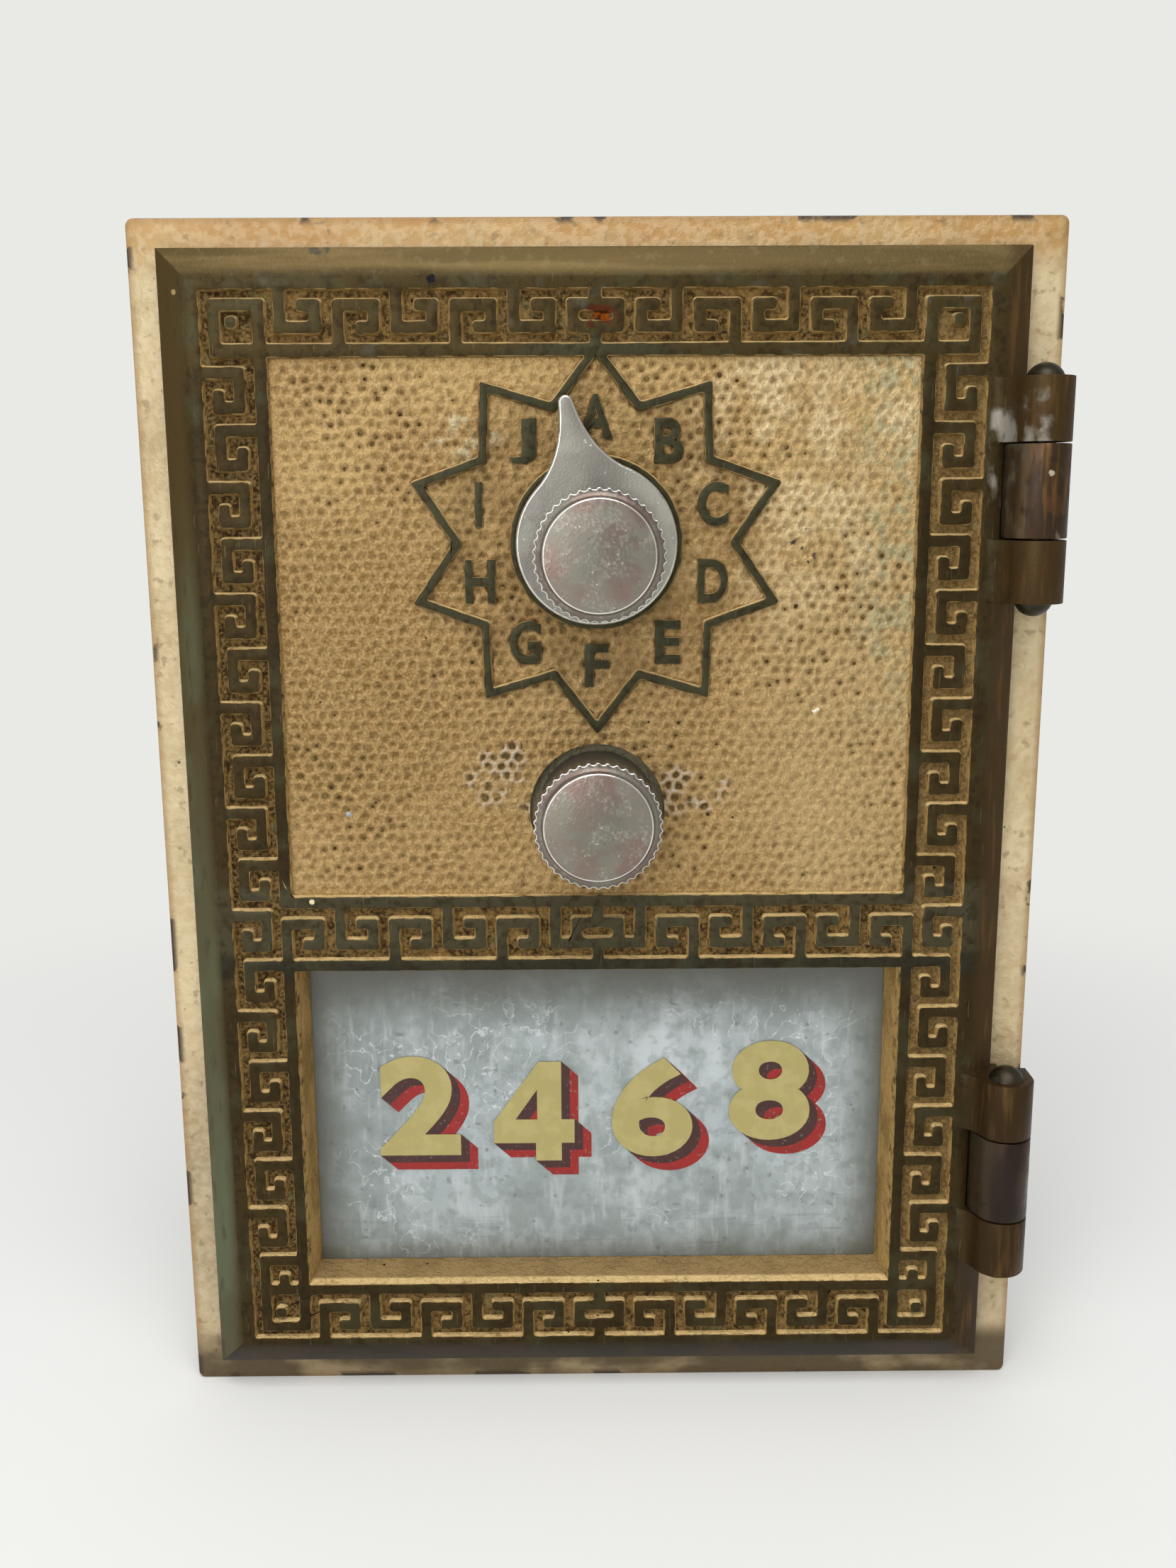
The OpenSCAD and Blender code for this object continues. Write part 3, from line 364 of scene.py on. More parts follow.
@dataclass(frozen=True)
class CastBrass:
    """Cast brass that was lacquered, then worn.

    Hands rubbed the raised lines dark olive brown, and the sunk ground kept its golden
    lacquer, darkened in its corners by painted shade and soiling.

    Attributes:
        face: the Y of the raised lines' faces. All places are in millimetres.
        band_x: how far the sunk ground reaches to each side.
        band_low: where it starts.
        band_high: where it ends.
        edge_x: where the bevels at the sides start.
        edge_z: where the bevels at the top and the bottom start.
        leaf_x: where the hinges' leaves start.
        dial_z: the dial's height.
        latch_z: the finger knob's height.
        raised: the colour of the raised lines.
        name: the material's name.
        sheen: how strongly it reflects.
        blur: how soft the ground's limits are.
    """

    face: float
    band_x: float
    band_low: float
    band_high: float
    edge_x: float
    edge_z: float
    leaf_x: float
    dial_z: float
    latch_z: float
    raised: str = "#332813"
    name: str = "cast_brass"
    sheen: float = 0.1
    blur: float = 0.05

    def material(self) -> Material:
        """Mixes the finish."""
        mix = Finish(self.name)
        x, z = mix.x, mix.z
        depth = mix.math("SUBTRACT", mix.y, self.face)
        across, along, up = mix.parts(mix.normal)
        standing = mix.size_of(along)
        within = mix.both(
            mix.between(x, -self.band_x - self.blur, self.band_x + self.blur, self.blur),
            mix.between(z, self.band_low - self.blur, self.band_high + self.blur, self.blur),
        )
        sunk = mix.both(within, mix.ramp(depth, 0.06, 0.16))
        wall = mix.both(sunk, mix.ramp(standing, 0.85, 0.5))
        rim = mix.both(within, mix.ramp(depth, 0.24, 0.12), mix.ramp(standing, 0.98, 0.86))
        recess = mix.both(sunk, mix.ramp(depth, 1.4, 2.0))
        # The bevels facing up and down are painted as lit and shaded copies of one brass.
        lit_top_bevel = self.bevel(mix, z, up, self.edge_z, 1)
        shaded_low_bevel = self.bevel(mix, z, up, self.edge_z, -1)
        bevel_left = self.bevel(mix, x, across, self.edge_x, -1)
        hinge_side = mix.ramp(x, self.leaf_x, self.leaf_x + 3)
        front = mix.ramp(depth, 2.6, 2.4)
        cloud = mix.mottle(17, 0.4, 0.65)
        grain = mix.mottle(0.5, 0.4, 0.62, detail=6)
        fine = mix.mottle(1.4, 0.45, 0.6, detail=8)
        side_band = mix.ramp(mix.size_of(x), 47, 50)
        top = mix.ramp(z, 66, 76)
        colour = mix.coats(
            self.raised,
            ("#40331a", cloud, 0.6),
            ("#2b2210", mix.between(mix.size_of(x), 47.6, 49.7, 0.2), 0.6),
            ("#42361c", top, 0.75),
            ("#454130", mix.between(z, -20, -6, 1), 0.7),
            ("#3a3a29", mix.ramp(mix.radius(0, self.dial_z), 31, 29), 0.7),
            ("#26241a", mix.between(z, -21, -17, 1), 0.8),
            ("#221a0c", mix.mottle(1.3, 0.5, 0.64, detail=8, shift=16), 0.5),
            ("#45452f", mix.mottle(6, 0.5, 0.68, shift=3), 0.35),
            ("#2c210e", mix.mottle(2.2, 0.55, 0.7, shift=5), 0.5),
            ("#6f6243", mix.mottle(0.35, 0.62, 0.72, stretch=(1, 1, 14), shift=4), 0.4),
            ("#5d625a", mix.mottle(5, 0.58, 0.68, detail=8, shift=12), top, 0.2),
            # The top bevel is painted lighter, as painted light from the lamp above. Its streaks
            # and specks are the metal's own.
            ("#554627", lit_top_bevel),
            ("#685735", lit_top_bevel, mix.mottle(3, 0.45, 0.65, stretch=(12, 1, 1))),
            ("#7a6a4c", lit_top_bevel, mix.mottle(1.6, 0.56, 0.66, detail=8, shift=18), 0.2),
            ("#413f34", mix.spot(-39.7, 88.2, 2.2), 0.8),
            ("#4a3b1f", bevel_left),
            ("#555640", bevel_left, mix.ramp(z, 40, -20), 0.7),
            ("#5b6048", bevel_left, mix.ramp(z, 60, 20),
             mix.mottle(12, 0.42, 0.58, detail=6, stretch=(1, 1, 3), shift=1), 0.85),
            ("#3c3420", bevel_left,
             mix.mottle(1.2, 0.56, 0.7, detail=8, stretch=(1, 1, 4), shift=7), 0.5),
            # The bottom bevel is painted dark grey brown: painted shade where it faces down.
            ("#38332a", shaded_low_bevel),
            ("#40372d", shaded_low_bevel, mix.mottle(9, 0.45, 0.6)),
            ("#43321b", hinge_side, 0.8),
            ("#332413", hinge_side, mix.ramp(z, -30, -40), 0.7),
            ("#5c4425", hinge_side, mix.mottle(1.2, 0.5, 0.75, stretch=(1, 1, 9), shift=9), 0.8),
            ("#8d877c", mix.spot(60.5, 59, 12), mix.ramp(x, self.band_x + 0.2, self.band_x + 1),
             mix.mottle(2.2, 0.4, 0.58, detail=10, stretch=(1, 1, 2), shift=6), 0.9),
            ("#574120", sunk),
            ("#7b6035", sunk, mix.invert(side_band), 0.7),
            ("#3e2e14", sunk, side_band, cloud, 0.85),
            ("#3d2c13", sunk, mix.mottle(2.4, 0.42, 0.6, detail=8, shift=6), 0.8),
            ("#241a0b", sunk, fine, 0.7),
            ("#826a41", sunk, mix.ramp(x, 47, 51), 0.5),
            ("#9c8152", sunk, grain, 0.45),
            ("#74714a", sunk, mix.mottle(4, 0.6, 0.7, shift=14), 0.4),
            ("#b29259", wall, mix.mottle(1.5, 0.3, 0.55, detail=6, shift=8), 0.9),
            # Walls that face up are painted lighter: a painted highlight from the lamp above.
            ("#dcbf87", wall, mix.ramp(up, 0.2, 0.6),
             mix.mottle(3, 0.25, 0.45, detail=6, shift=15), 0.95),
            # Walls that face down are painted darker: painted shade.
            ("#5a4624", wall, mix.ramp(up, -0.25, -0.7), 0.5),
            ("#a58956", rim, mix.mottle(2.5, 0.42, 0.6, detail=10, shift=10), 0.8),
            ("#b0905a", recess, 0.9),
            ("#7a5f35", recess, mix.mottle(5, 0.45, 0.62, stretch=(1, 1, 2)), 0.6),
            ("#8f7852", recess, mix.ramp(up, 0.3, 0.7), 0.7),
            ("#8d8a74", recess, mix.ramp(mix.radius(0, self.latch_z), 13, 12), 0.8),
            # Darker in the ground's corners: painted shade, with soiling.
            ("#35270f", sunk, mix.crevice_shade(1.1, 0.6, 0.2), 0.75),
            ("#1b130a", mix.specks(2.4, 0.3, 0.15), sunk),
            ("#4b1f0b", front, mix.spot(0.6, 79.2, 3.4, 0.9), 0.85),
            ("#a4530f", front, mix.spot(1.2, 78.6, 2.2, 0.9), sunk, 0.9),
            ("#101114", front, mix.spot(-23.6, 84.3, 0.9, 0.3)),
            ("#9b8456", front, mix.spot(-60.8, 82.7, 0.5, 0.3)),
            ("#d9cda4", front, mix.spot(-44.6, -8.3, 0.55, 0.2)),
            ("#b0a07c", mix.specks(9, 0.3, 0.2, shift=4), 0.8),
        )
        rough = mix.vary(sunk, 0.4, 0.65)
        pores = mix.mottle(0.35, 0.3, 0.7, detail=3, shift=2)
        normal = mix.relief(
            (mix.both(fine, sunk), 0.14), (mix.both(pores, sunk), 0.07), (grain, 0.012)
        )
        return mix.done(
            colour, rough, Metallic=0.35, Normal=normal, Specular_IOR_Level=self.sheen
        )

    def bevel(self, mix: Finish, place: Socket, slope: Socket, edge: float, side: int) -> Mask:
        """The mask of one bevel of the door.

        Args:
            mix: the finish being mixed.
            place: the place across the bevel, in millimetres.
            slope: the same part of the surface's normal.
            edge: how far from the middle the bevel starts, in millimetres.
            side: 1 or -1, for the side that it is on.

        Returns:
            A mask from zero to one.
        """
        blur = 0.2
        outside = mix.ramp(place, side * (edge - blur), side * (edge + blur))
        return mix.both(outside, mix.ramp(slope, side * 0.2, side * 0.4))


@dataclass(frozen=True)
class HammeredBrass:
    """The panel's hammered ground: golden lacquer, darker in each dimple, painted lighter on
    ridges.
    """

    latch_z: float
    dial_z: float
    pit: str = "pit"
    ridge: str = "ridge"

    def material(self) -> Material:
        """Mixes the finish."""
        mix = Finish("hammered_brass")
        pit = mix.add("ShaderNodeAttribute", attribute_name=self.pit).outputs["Fac"]
        ridge = mix.add("ShaderNodeAttribute", attribute_name=self.ridge).outputs["Fac"]
        x, z = mix.x, mix.z
        left = mix.ramp(x, -8, -26)
        right = mix.ramp(x, 18, 34)
        upper = mix.ramp(z, 22, 60)
        cloud = mix.mottle(13, 0.4, 0.6)
        patch = mix.mottle(8, 0.42, 0.58, detail=5, shift=2)
        grain = mix.mottle(0.45, 0.4, 0.62, detail=6)
        fine = mix.mottle(1.0, 0.5, 0.64, detail=8, shift=5)
        grime_and_shade = mix.crevice_shade(2.2, 0.75, 0.3)
        on_dial = mix.ramp(mix.radius(0, self.dial_z), 27, 20)
        dial = mix.both(on_dial, mix.mottle(5, 0.3, 0.55, shift=17))
        beside_knob = mix.math(
            "MAXIMUM", mix.spot(-15, self.latch_z + 5, 9), mix.spot(14.5, self.latch_z + 2.5, 7)
        )
        crackle = mix.both(beside_knob, mix.mottle(4, 0.4, 0.55, shift=6))
        web = mix.both(crackle, mix.ramp(ridge, 0.45, 0.8))
        pale = mix.both(upper, mix.ramp(x, 8, 26), patch)
        crest_highlight = mix.ramp(ridge, 0.2, 0.9)
        colour = mix.coats(
            "#8f703e",
            ("#a08250", cloud, 0.6),
            ("#775823", left, mix.between(z, 8, 48, 10), 0.75),
            ("#b39a6a", right, 0.55),
            # Lighter towards the top: partly the metal's own tone, partly painted light from the
            # lamp above.
            ("#ac9058", mix.ramp(z, 40, 60), cloud, 0.6),
            ("#bfa97f", pale, 0.7),
            # The ridges between dimples are painted lighter: a painted highlight, strongest in the
            # pale patches.
            ("#b3976a", crest_highlight, 0.35),
            ("#ddd0a8", crest_highlight, pale, 0.45),
            ("#8c9474", mix.ramp(x, 36, 43), mix.ramp(z, 10, 40), mix.mottle(2.5, 0.45, 0.6), 0.6),
            ("#c4c1a2", mix.spot(-19, 60, 7), mix.mottle(1.8, 0.42, 0.58, shift=3), 0.6),
            ("#b99e70", grain, 0.45),
            ("#6f552c", fine, 0.4),
            # Darker towards the bottom of each dimple.
            ("#614720", mix.ramp(pit, 0.1, 0.75), 0.6),
            ("#3a2810", mix.ramp(pit, 0.6, 1.0), mix.mottle(3, 0.4, 0.6, shift=9), 0.45),
            ("#6b522a", dial, 0.5),
            ("#33230d", dial, mix.ramp(pit, 0.3, 0.8), 0.65),
            ("#37290f", crackle, mix.ramp(ridge, 0.5, 0.1), 0.85),
            ("#b3a596", web, 0.8),
            # Darker beside the raised lines and letters: painted shade, with soiling.
            ("#4a3616", grime_and_shade, 0.85),
            ("#2a2019", mix.spot(30.5, 46.5, 4.5), crest_highlight, mix.mottle(2, 0.5, 0.55)),
            ("#f0ead2", mix.spot(34, 22, 2.2), mix.mottle(1, 0.55, 0.6)),
            ("#9aa0a6", mix.spot(-38.4, 5.4, 0.8)),
            ("#1f160b", mix.specks(4.2, 0.24, 0.16)),
            ("#e6d9b2", mix.specks(7, 0.22, 0.3, shift=3)),
        )
        normal = mix.relief((mix.mottle(0.7, 0.3, 0.7, detail=4, shift=2), 0.09), (grain, 0.02))
        return mix.done(colour, 0.45, Metallic=0.45, Normal=normal, Specular_IOR_Level=0.3)


@dataclass(frozen=True)
class WornLacquer:
    """The thin plate's cream lacquer, with an orange-peel surface and chipped brown edges."""

    left: float
    right: float
    low: float
    high: float
    front: float
    rim: float = 0.75
    blur: float = 0.6

    def material(self) -> Material:
        """Mixes the finish."""
        mix = Finish("worn_lacquer")
        x, z = mix.x, mix.z
        across = mix.between(x, self.left + self.rim, self.right - self.rim, self.blur)
        along = mix.between(z, self.low + self.rim, self.high - self.rim, self.blur)
        outer = mix.invert(mix.both(across, along))
        chipped = mix.both(outer, mix.mottle(9, 0.57, 0.6, detail=10))
        behind = mix.ramp(mix.y, self.front + 0.5, self.front + 0.9)
        top = mix.ramp(z, 84, 92)
        foot_shadow = mix.ramp(z, -84, -88)
        peel = mix.mottle(1.3, 0.35, 0.65, detail=2)
        stain = mix.both(top, mix.mottle(16, 0.4, 0.6, stretch=(2, 1, 1), shift=1))
        colour = mix.coats(
            "#b6a27a",
            ("#a08a60", mix.ramp(z, 35, 60), mix.ramp(x, -60, -66), 0.8),
            ("#918062", mix.ramp(z, -20, -60), mix.ramp(x, -55, -60), 0.8),
            ("#ccb991", mix.mottle(12, 0.4, 0.6), 0.6),
            ("#a69070", mix.ramp(z, 10, -70), mix.mottle(20, 0.35, 0.6, shift=5), 0.5),
            ("#a98242", top, 0.85),
            ("#9a6a26", stain, 0.7),
            ("#9d8355", mix.mottle(5, 0.5, 0.66, detail=8, shift=4), 0.45),
            ("#ddceac", peel, 0.2),
            ("#6f5830", mix.mottle(2, 0.58, 0.68, detail=8, shift=11), 0.5),
            # Darker in corners: painted shade, with soiling.
            ("#6e5128", mix.crevice_shade(3.0, 0.55, 0.15), 0.6),
            ("#8f6a38", outer, 0.6),
            # The lower margin under the door is painted darker: the door's painted shadow, made
            # uneven.
            ("#7d6a48", foot_shadow, 0.7),
            ("#473719", foot_shadow, mix.mottle(10, 0.36, 0.5, detail=8, stretch=(2, 1, 1)), 0.85),
            ("#36270f", chipped),
            ("#3a2a16", mix.specks(5, 0.26, 0.25, shift=7)),
            ("#8b6d3a", behind),
            ("#6f5530", behind, mix.mottle(6, 0.4, 0.6)),
        )
        normal = mix.relief((peel, 0.07), (mix.mottle(0.4, 0.3, 0.7, shift=3), 0.015))
        return mix.done(colour, 0.45, Metallic=0.1, Normal=normal)


@dataclass(frozen=True)
class BrownedBrass:
    """Brass of the hinge barrels, browned by handling, with grey streaks and rust."""

    def material(self) -> Material:
        """Mixes the finish."""
        mix = Finish("browned_brass")
        x, z = mix.x, mix.z
        long_streak = mix.mottle(1.4, 0.48, 0.7, stretch=(1, 1, 8), shift=2)
        upper = mix.ramp(z, 0, 20)
        leaf = mix.ramp(x, 63.2, 61.2)
        colour = mix.coats(
            "#221406",
            ("#35230e", upper, 0.7),
            ("#3e2b12", mix.mottle(4, 0.42, 0.62, stretch=(1, 1, 3)), 0.6),
            ("#6b4a20", long_streak, upper, 0.8),
            ("#553413", mix.mottle(5, 0.5, 0.64, detail=6, stretch=(1, 1, 1.6), shift=21), upper,
             0.35),
            ("#5f3a16", mix.spot(66.5, 52, 3), 0.4),
            ("#4d4331", leaf, 0.6),
            ("#776f60", leaf, upper,
             mix.mottle(2.4, 0.42, 0.6, detail=10, stretch=(1, 1, 2), shift=5), 0.4),
            ("#7d6f58", upper, mix.mottle(2.2, 0.6, 0.7, stretch=(1, 1, 2), shift=5), 0.6),
            ("#1b120a", mix.mottle(3, 0.6, 0.72, shift=8), 0.5),
            ("#b9b19a", mix.spot(65.4, 56.6, 0.6, 0.3)),
            ("#8d8268", mix.specks(3.5, 0.2, 0.2), 0.7),
        )
        rough = mix.vary(mix.mottle(3, 0.35, 0.65), 0.3, 0.5)
        normal = mix.relief((long_streak, 0.02))
        return mix.done(colour, rough, Metallic=0.55, Normal=normal)


@dataclass(frozen=True)
class TurnedAluminium:
    """A knob's turned aluminium, dull, with a mauve bloom and pale pits."""

    centre: tuple[float, float]
    bloom: str = "#786058"

    def material(self) -> Material:
        """Mixes the finish."""
        mix = Finish("turned_aluminium")
        radius = mix.radius(*self.centre)
        lines = mix.math("SINE", mix.math("MULTIPLY", radius, 11.0))
        bloom = mix.mottle(6, 0.42, 0.58, shift=3 + self.centre[1])
        dirt_and_shade = mix.crevice_shade(1.2, 0.6, 0.2)
        crust = mix.mottle(3, 0.42, 0.62, detail=8, shift=self.centre[1])
        colour = mix.coats(
            "#7d766b",
            (self.bloom, bloom, 0.7),
            ("#767a6c", mix.mottle(3.4, 0.5, 0.66, shift=7), 0.5),
            ("#67675b", mix.ramp(radius, 7, 2), 0.5),
            ("#a19d92", crust, mix.mottle(0.5, 0.45, 0.65, detail=8), 0.45),
            ("#c4c2b8", mix.specks(0.6, 0.16, 0.3), crust, 0.7),
            ("#453d36", mix.specks(1.1, 0.14, 0.25, shift=2), 0.7),
            ("#55514a", mix.ramp(radius, 8.7, 9.0), 0.6),
            # Darker in hollows: painted shade, with soiling.
            ("#3d3a30", dirt_and_shade, 0.75),
        )
        normal = mix.relief((lines, 0.002), (mix.mottle(0.5, 0.35, 0.65), 0.01))
        rough = mix.vary(bloom, 0.42, 0.34)
        return mix.done(colour, rough, Metallic=0.6, Normal=normal)


@dataclass(frozen=True)
class BlastedAluminium:
    """The pointer's blasted face: matte grey with bright specks."""

    def material(self) -> Material:
        """Mixes the finish."""
        mix = Finish("blasted_aluminium")
        worn = mix.mottle(6, 0.42, 0.62, shift=1)
        colour = mix.coats(
            "#7c7970",
            ("#66625b", mix.ramp(mix.x, -4, -12), 0.8),
            ("#b0af9f", mix.ramp(mix.x, 2, 10), 0.8),
            ("#9d9b8f", worn, 0.35),
            ("#857e78", mix.mottle(4, 0.5, 0.65, shift=5), 0.5),
            ("#d6d6cc", mix.specks(0.75, 0.18, 0.35), worn),
            ("#56514a", mix.specks(1.9, 0.13, 0.2, shift=4), 0.6),
        )
        normal = mix.relief((mix.mottle(0.35, 0.35, 0.65, detail=2), 0.012))
        return mix.done(colour, 0.42, Metallic=0.5, Normal=normal)


@dataclass(frozen=True)
class PlainMetal:
    """A plain worked metal with faint handling marks."""

    name: str
    colour: str
    worn: str
    metallic: float = 0.9
    roughness: float = 0.35

    def material(self) -> Material:
        """Mixes the finish."""
        mix = Finish(self.name)
        marks = mix.mottle(3, 0.42, 0.62, detail=6)
        colour = mix.coats(
            self.colour,
            (self.worn, marks, 0.45),
            (self.worn, mix.mottle(0.8, 0.4, 0.7, stretch=(8, 1, 1), shift=4), 0.35),
            ("#33280f", mix.mottle(2.2, 0.56, 0.7, detail=8, shift=9), 0.35),
            # Darker in corners: painted shade, with soiling.
            ("#2b2214", mix.crevice_shade(1.5, 0.6, 0.2), 0.5),
            ("#2a2116", mix.specks(2.6, 0.15, 0.2), 0.5),
        )
        rough = mix.vary(marks, self.roughness - 0.06, self.roughness + 0.1)
        normal = mix.relief((mix.mottle(0.4, 0.4, 0.6), 0.004))
        return mix.done(colour, rough, Metallic=self.metallic, Normal=normal)


@dataclass(frozen=True)
class CloudedGlass:
    """Old window glass, clouded blue grey with fine scratches."""

    low: Vector
    high: Vector

    def material(self) -> Material:
        """Mixes the finish."""
        mix = Finish("clouded_glass")
        x, z = mix.x, mix.z
        across_middle = mix.between(x, self.low.x + 7, self.high.x - 7, 5)
        along_middle = mix.between(z, self.low.z + 5, self.high.z - 10, 7)
        shade = mix.invert(mix.both(across_middle, along_middle))
        warp = mix.mottle(9, 0.25, 0.75, detail=5, shift=4)
        vein = mix.math("SINE", mix.math("MULTIPLY", warp, 24.0))
        scratch = mix.both(mix.ramp(vein, 0.93, 1.0), mix.mottle(14, 0.5, 0.6, shift=1))
        across = mix.mottle(0.9, 0.55, 0.7, stretch=(14, 1, 1), detail=4, shift=19)
        smear = mix.mottle(1.1, 0.5, 0.68, stretch=(1, 1, 6), detail=6, shift=13)
        fog = mix.mottle(16, 0.4, 0.6, detail=8)
        colour = mix.coats(
            "#8f9896",
            ("#a5afaf", fog, 0.8),
            ("#b3bcbd", mix.mottle(5, 0.42, 0.66, detail=10, shift=7), 0.7),
            ("#747d7c", mix.mottle(3, 0.5, 0.72, detail=10, shift=2), 0.6),
            ("#cad2d3", mix.spot(4, -44, 26), mix.mottle(7, 0.36, 0.6, detail=10, shift=23), 0.7),
            # Darker towards the left edge: partly painted shade from the window's side wall, partly
            # clouding.
            ("#6d746f", mix.ramp(x, self.low.x + 22, self.low.x + 6), mix.mottle(11, 0.36, 0.56),
             0.6),
            ("#c3cacb", smear, 0.4),
            ("#6c7574", across, mix.ramp(z, self.low.z + 16, self.low.z + 8), 0.4),
            ("#dde3e4", scratch, 0.6),
            ("#5a605f", mix.mottle(1.6, 0.62, 0.72, detail=8, shift=6), 0.6),
            ("#4b4d48", mix.ramp(z, self.high.z - 15, self.high.z - 6),
             mix.specks(2.6, 0.3, 0.3, shift=8), 0.8),
            # Darker under the top edge: painted shade from the window's top wall.
            ("#55564c", mix.ramp(z, self.high.z - 13, self.high.z - 4),
             mix.mottle(9, 0.3, 0.5, shift=3), 0.7),
            ("#848d8c", mix.mottle(1.9, 0.5, 0.62, detail=10, shift=27), 0.45),
            # Darker all round the edges: painted shade from the window's walls.
            ("#54564b", shade, 0.95),
            ("#3f413c", mix.specks(6, 0.25, 0.3), 0.7),
        )
        normal = mix.relief((mix.mottle(6, 0.3, 0.7), 0.08), (scratch, 0.01))
        coat = {"Coat_Weight": 0.3, "Coat_Roughness": 0.08}
        return mix.done(colour, 0.28, Normal=normal, Transmission_Weight=0.15, **coat)


@dataclass(frozen=True)
class SignPaint:
    """Sign writer's paint, a little uneven, with pinholes."""

    name: str
    colour: str
    thin: str
    roughness: float = 0.5

    def material(self) -> Material:
        """Mixes the finish."""
        mix = Finish(self.name)
        colour = mix.coats(
            self.colour,
            (self.thin, mix.mottle(2.5, 0.45, 0.65, detail=6), 0.55),
            ("#8f8a72", mix.mottle(0.6, 0.6, 0.7, shift=3), 0.35),
        )
        return mix.done(colour, self.roughness)


# Meshes


def show(thing: bpy.types.Object) -> None:
    """Puts an object in the scene."""
    bpy.context.scene.collection.objects.link(thing)


def move(bm: Mesh, step: Vector) -> None:
    """Moves a whole mesh by a step in millimetres."""
    bmesh.ops.translate(bm, verts=bm.verts, vec=step * MM)


def stand_up(bm: Mesh) -> None:
    """Turns a mesh that lies in X and Y, so that it stands in X and Z and looks to the front."""
    turn = Matrix.Rotation(math.radians(90), 3, "X")
    bmesh.ops.rotate(bm, verts=bm.verts, cent=(0, 0, 0), matrix=turn)


def copy_node(node: str) -> Mesh:
    """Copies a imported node's mesh, merged, with its flat faces whole.

    Args:
        node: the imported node.

    Returns:
        The copy, in metres.
    """
    bm = bmesh.new()
    bm.from_mesh(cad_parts[node].data)
    bmesh.ops.remove_doubles(bm, verts=bm.verts, dist=MERGED * MM)
    bmesh.ops.dissolve_limit(
        bm,
        angle_limit=math.radians(FLAT_ANGLE),
        use_dissolve_boundaries=False,
        verts=bm.verts,
        edges=bm.edges,
    )
    return bm


def soften(
    bm: Mesh,
    width: float,
    angle: float = 32,
    segments: int = 2,
    material: int = -1,
    keep: Callable[[Edge], bool] = lambda edge: True,
) -> None:
    """Rounds the sharp edges of a mesh.

    Args:
        bm: the mesh.
        width: how wide the rounding is, in millimetres.
        angle: edges sharper than this are rounded, in degrees.
        segments: faces across the rounding.
        material: the material slot of the rounding, or -1 for its neighbours'.
        keep: says which edges may be rounded.
    """
    limit = math.radians(angle)
    edges = [
        edge
        for edge in bm.edges
        if len(edge.link_faces) == 2
        and edge.calc_face_angle(0) > limit
        and edge.calc_length() > SHORTEST * MM
        and keep(edge)
    ]
    bmesh.ops.bevel(
        bm,
        geom=edges,
        offset=width * MM,
        offset_type="OFFSET",
        segments=segments,
        profile=0.5,
        affect="EDGES",
        clamp_overlap=False,
        material=material,
    )


def flat_region(seed: Face) -> dict[Face, None]:
    """The faces, in a fixed order, that lie in one plane with a face and touch it or each other."""
    level = seed.normal.dot(seed.verts[0].co)
    region = {seed: None}
    waiting = [seed]
    while waiting:
        for edge in waiting.pop().edges:
            for face in edge.link_faces:
                if face in region or face.normal.dot(seed.normal) < SAME_WAY:
                    continue
                if all(abs(seed.normal.dot(v.co) - level) < FLATNESS * MM for v in face.verts):
                    region[face] = None
                    waiting.append(face)
    return region


def refill(bm: Mesh) -> None:
    """Fills the flat faces that have holes again, from their rims alone.

    Rounding the edges leaves cuts between the holes that can cross a rim.

    Args:
        bm: the mesh.
    """
    for seed in [face for face in bm.faces if len(face.verts) > MOST_CORNERS]:
        if not seed.is_valid:
            continue
        region = flat_region(seed)
        normal = seed.normal.copy()
        edges = dict.fromkeys(edge for face in region for edge in face.edges)
        shares = {edge: sum(loop.face in region for loop in edge.link_loops) for edge in edges}
        bmesh.ops.delete(bm, geom=list(region), context="FACES_ONLY")
        for edge in edges:
            if shares[edge] == 2:
                bm.edges.remove(edge)
        fill_rims(bm, [edge for edge in edges if edge.is_valid], normal)
    for group, context in ((bm.edges, "EDGES"), (bm.verts, "VERTS")):
        bmesh.ops.delete(bm, geom=[g for g in group if not g.link_faces], context=context)


def fill_rims(bm: Mesh, rims: Sequence[Edge], normal: Vector) -> None:
    """Fills between closed rims that lie in one plane, and leaves their holes open.

    Args:
        bm: the mesh.
        rims: the rims' edges.
        normal: the plane's normal.
    """
    flat = normal.to_track_quat("Z", "Y").to_matrix().transposed() * (1 / MM)
    verts = list(dict.fromkeys(vert for edge in rims for vert in edge.verts))
    number = {vert: i for i, vert in enumerate(verts)}
    height = (flat @ verts[0].co).z
    points = [(flat @ vert.co).to_2d() for vert in verts]
    pairs = [tuple(number[vert] for vert in edge.verts) for edge in rims]
    places, lines, faces, sources, fences, _ = delaunay_2d_cdt(points, pairs, [], 0, TOUCHING)
    fenced = {frozenset(line) for line, fence in zip(lines, fences) if fence}
    filled = inside_fences(faces, fenced)
    back = flat.inverted()
    ends = [
        verts[source[0]] if source else bm.verts.new(back @ Vector((place.x, place.y, height)))
        for place, source in zip(places, sources)
    ]
    for i, face in enumerate(faces):
        ring = [ends[k] for k in face]
        if i in filled and len(set(ring)) == len(ring) and bm.faces.get(ring) is None:
            made = bm.faces.new(ring)
            made.normal_update()
            if made.normal.dot(normal) < 0:
                made.normal_flip()


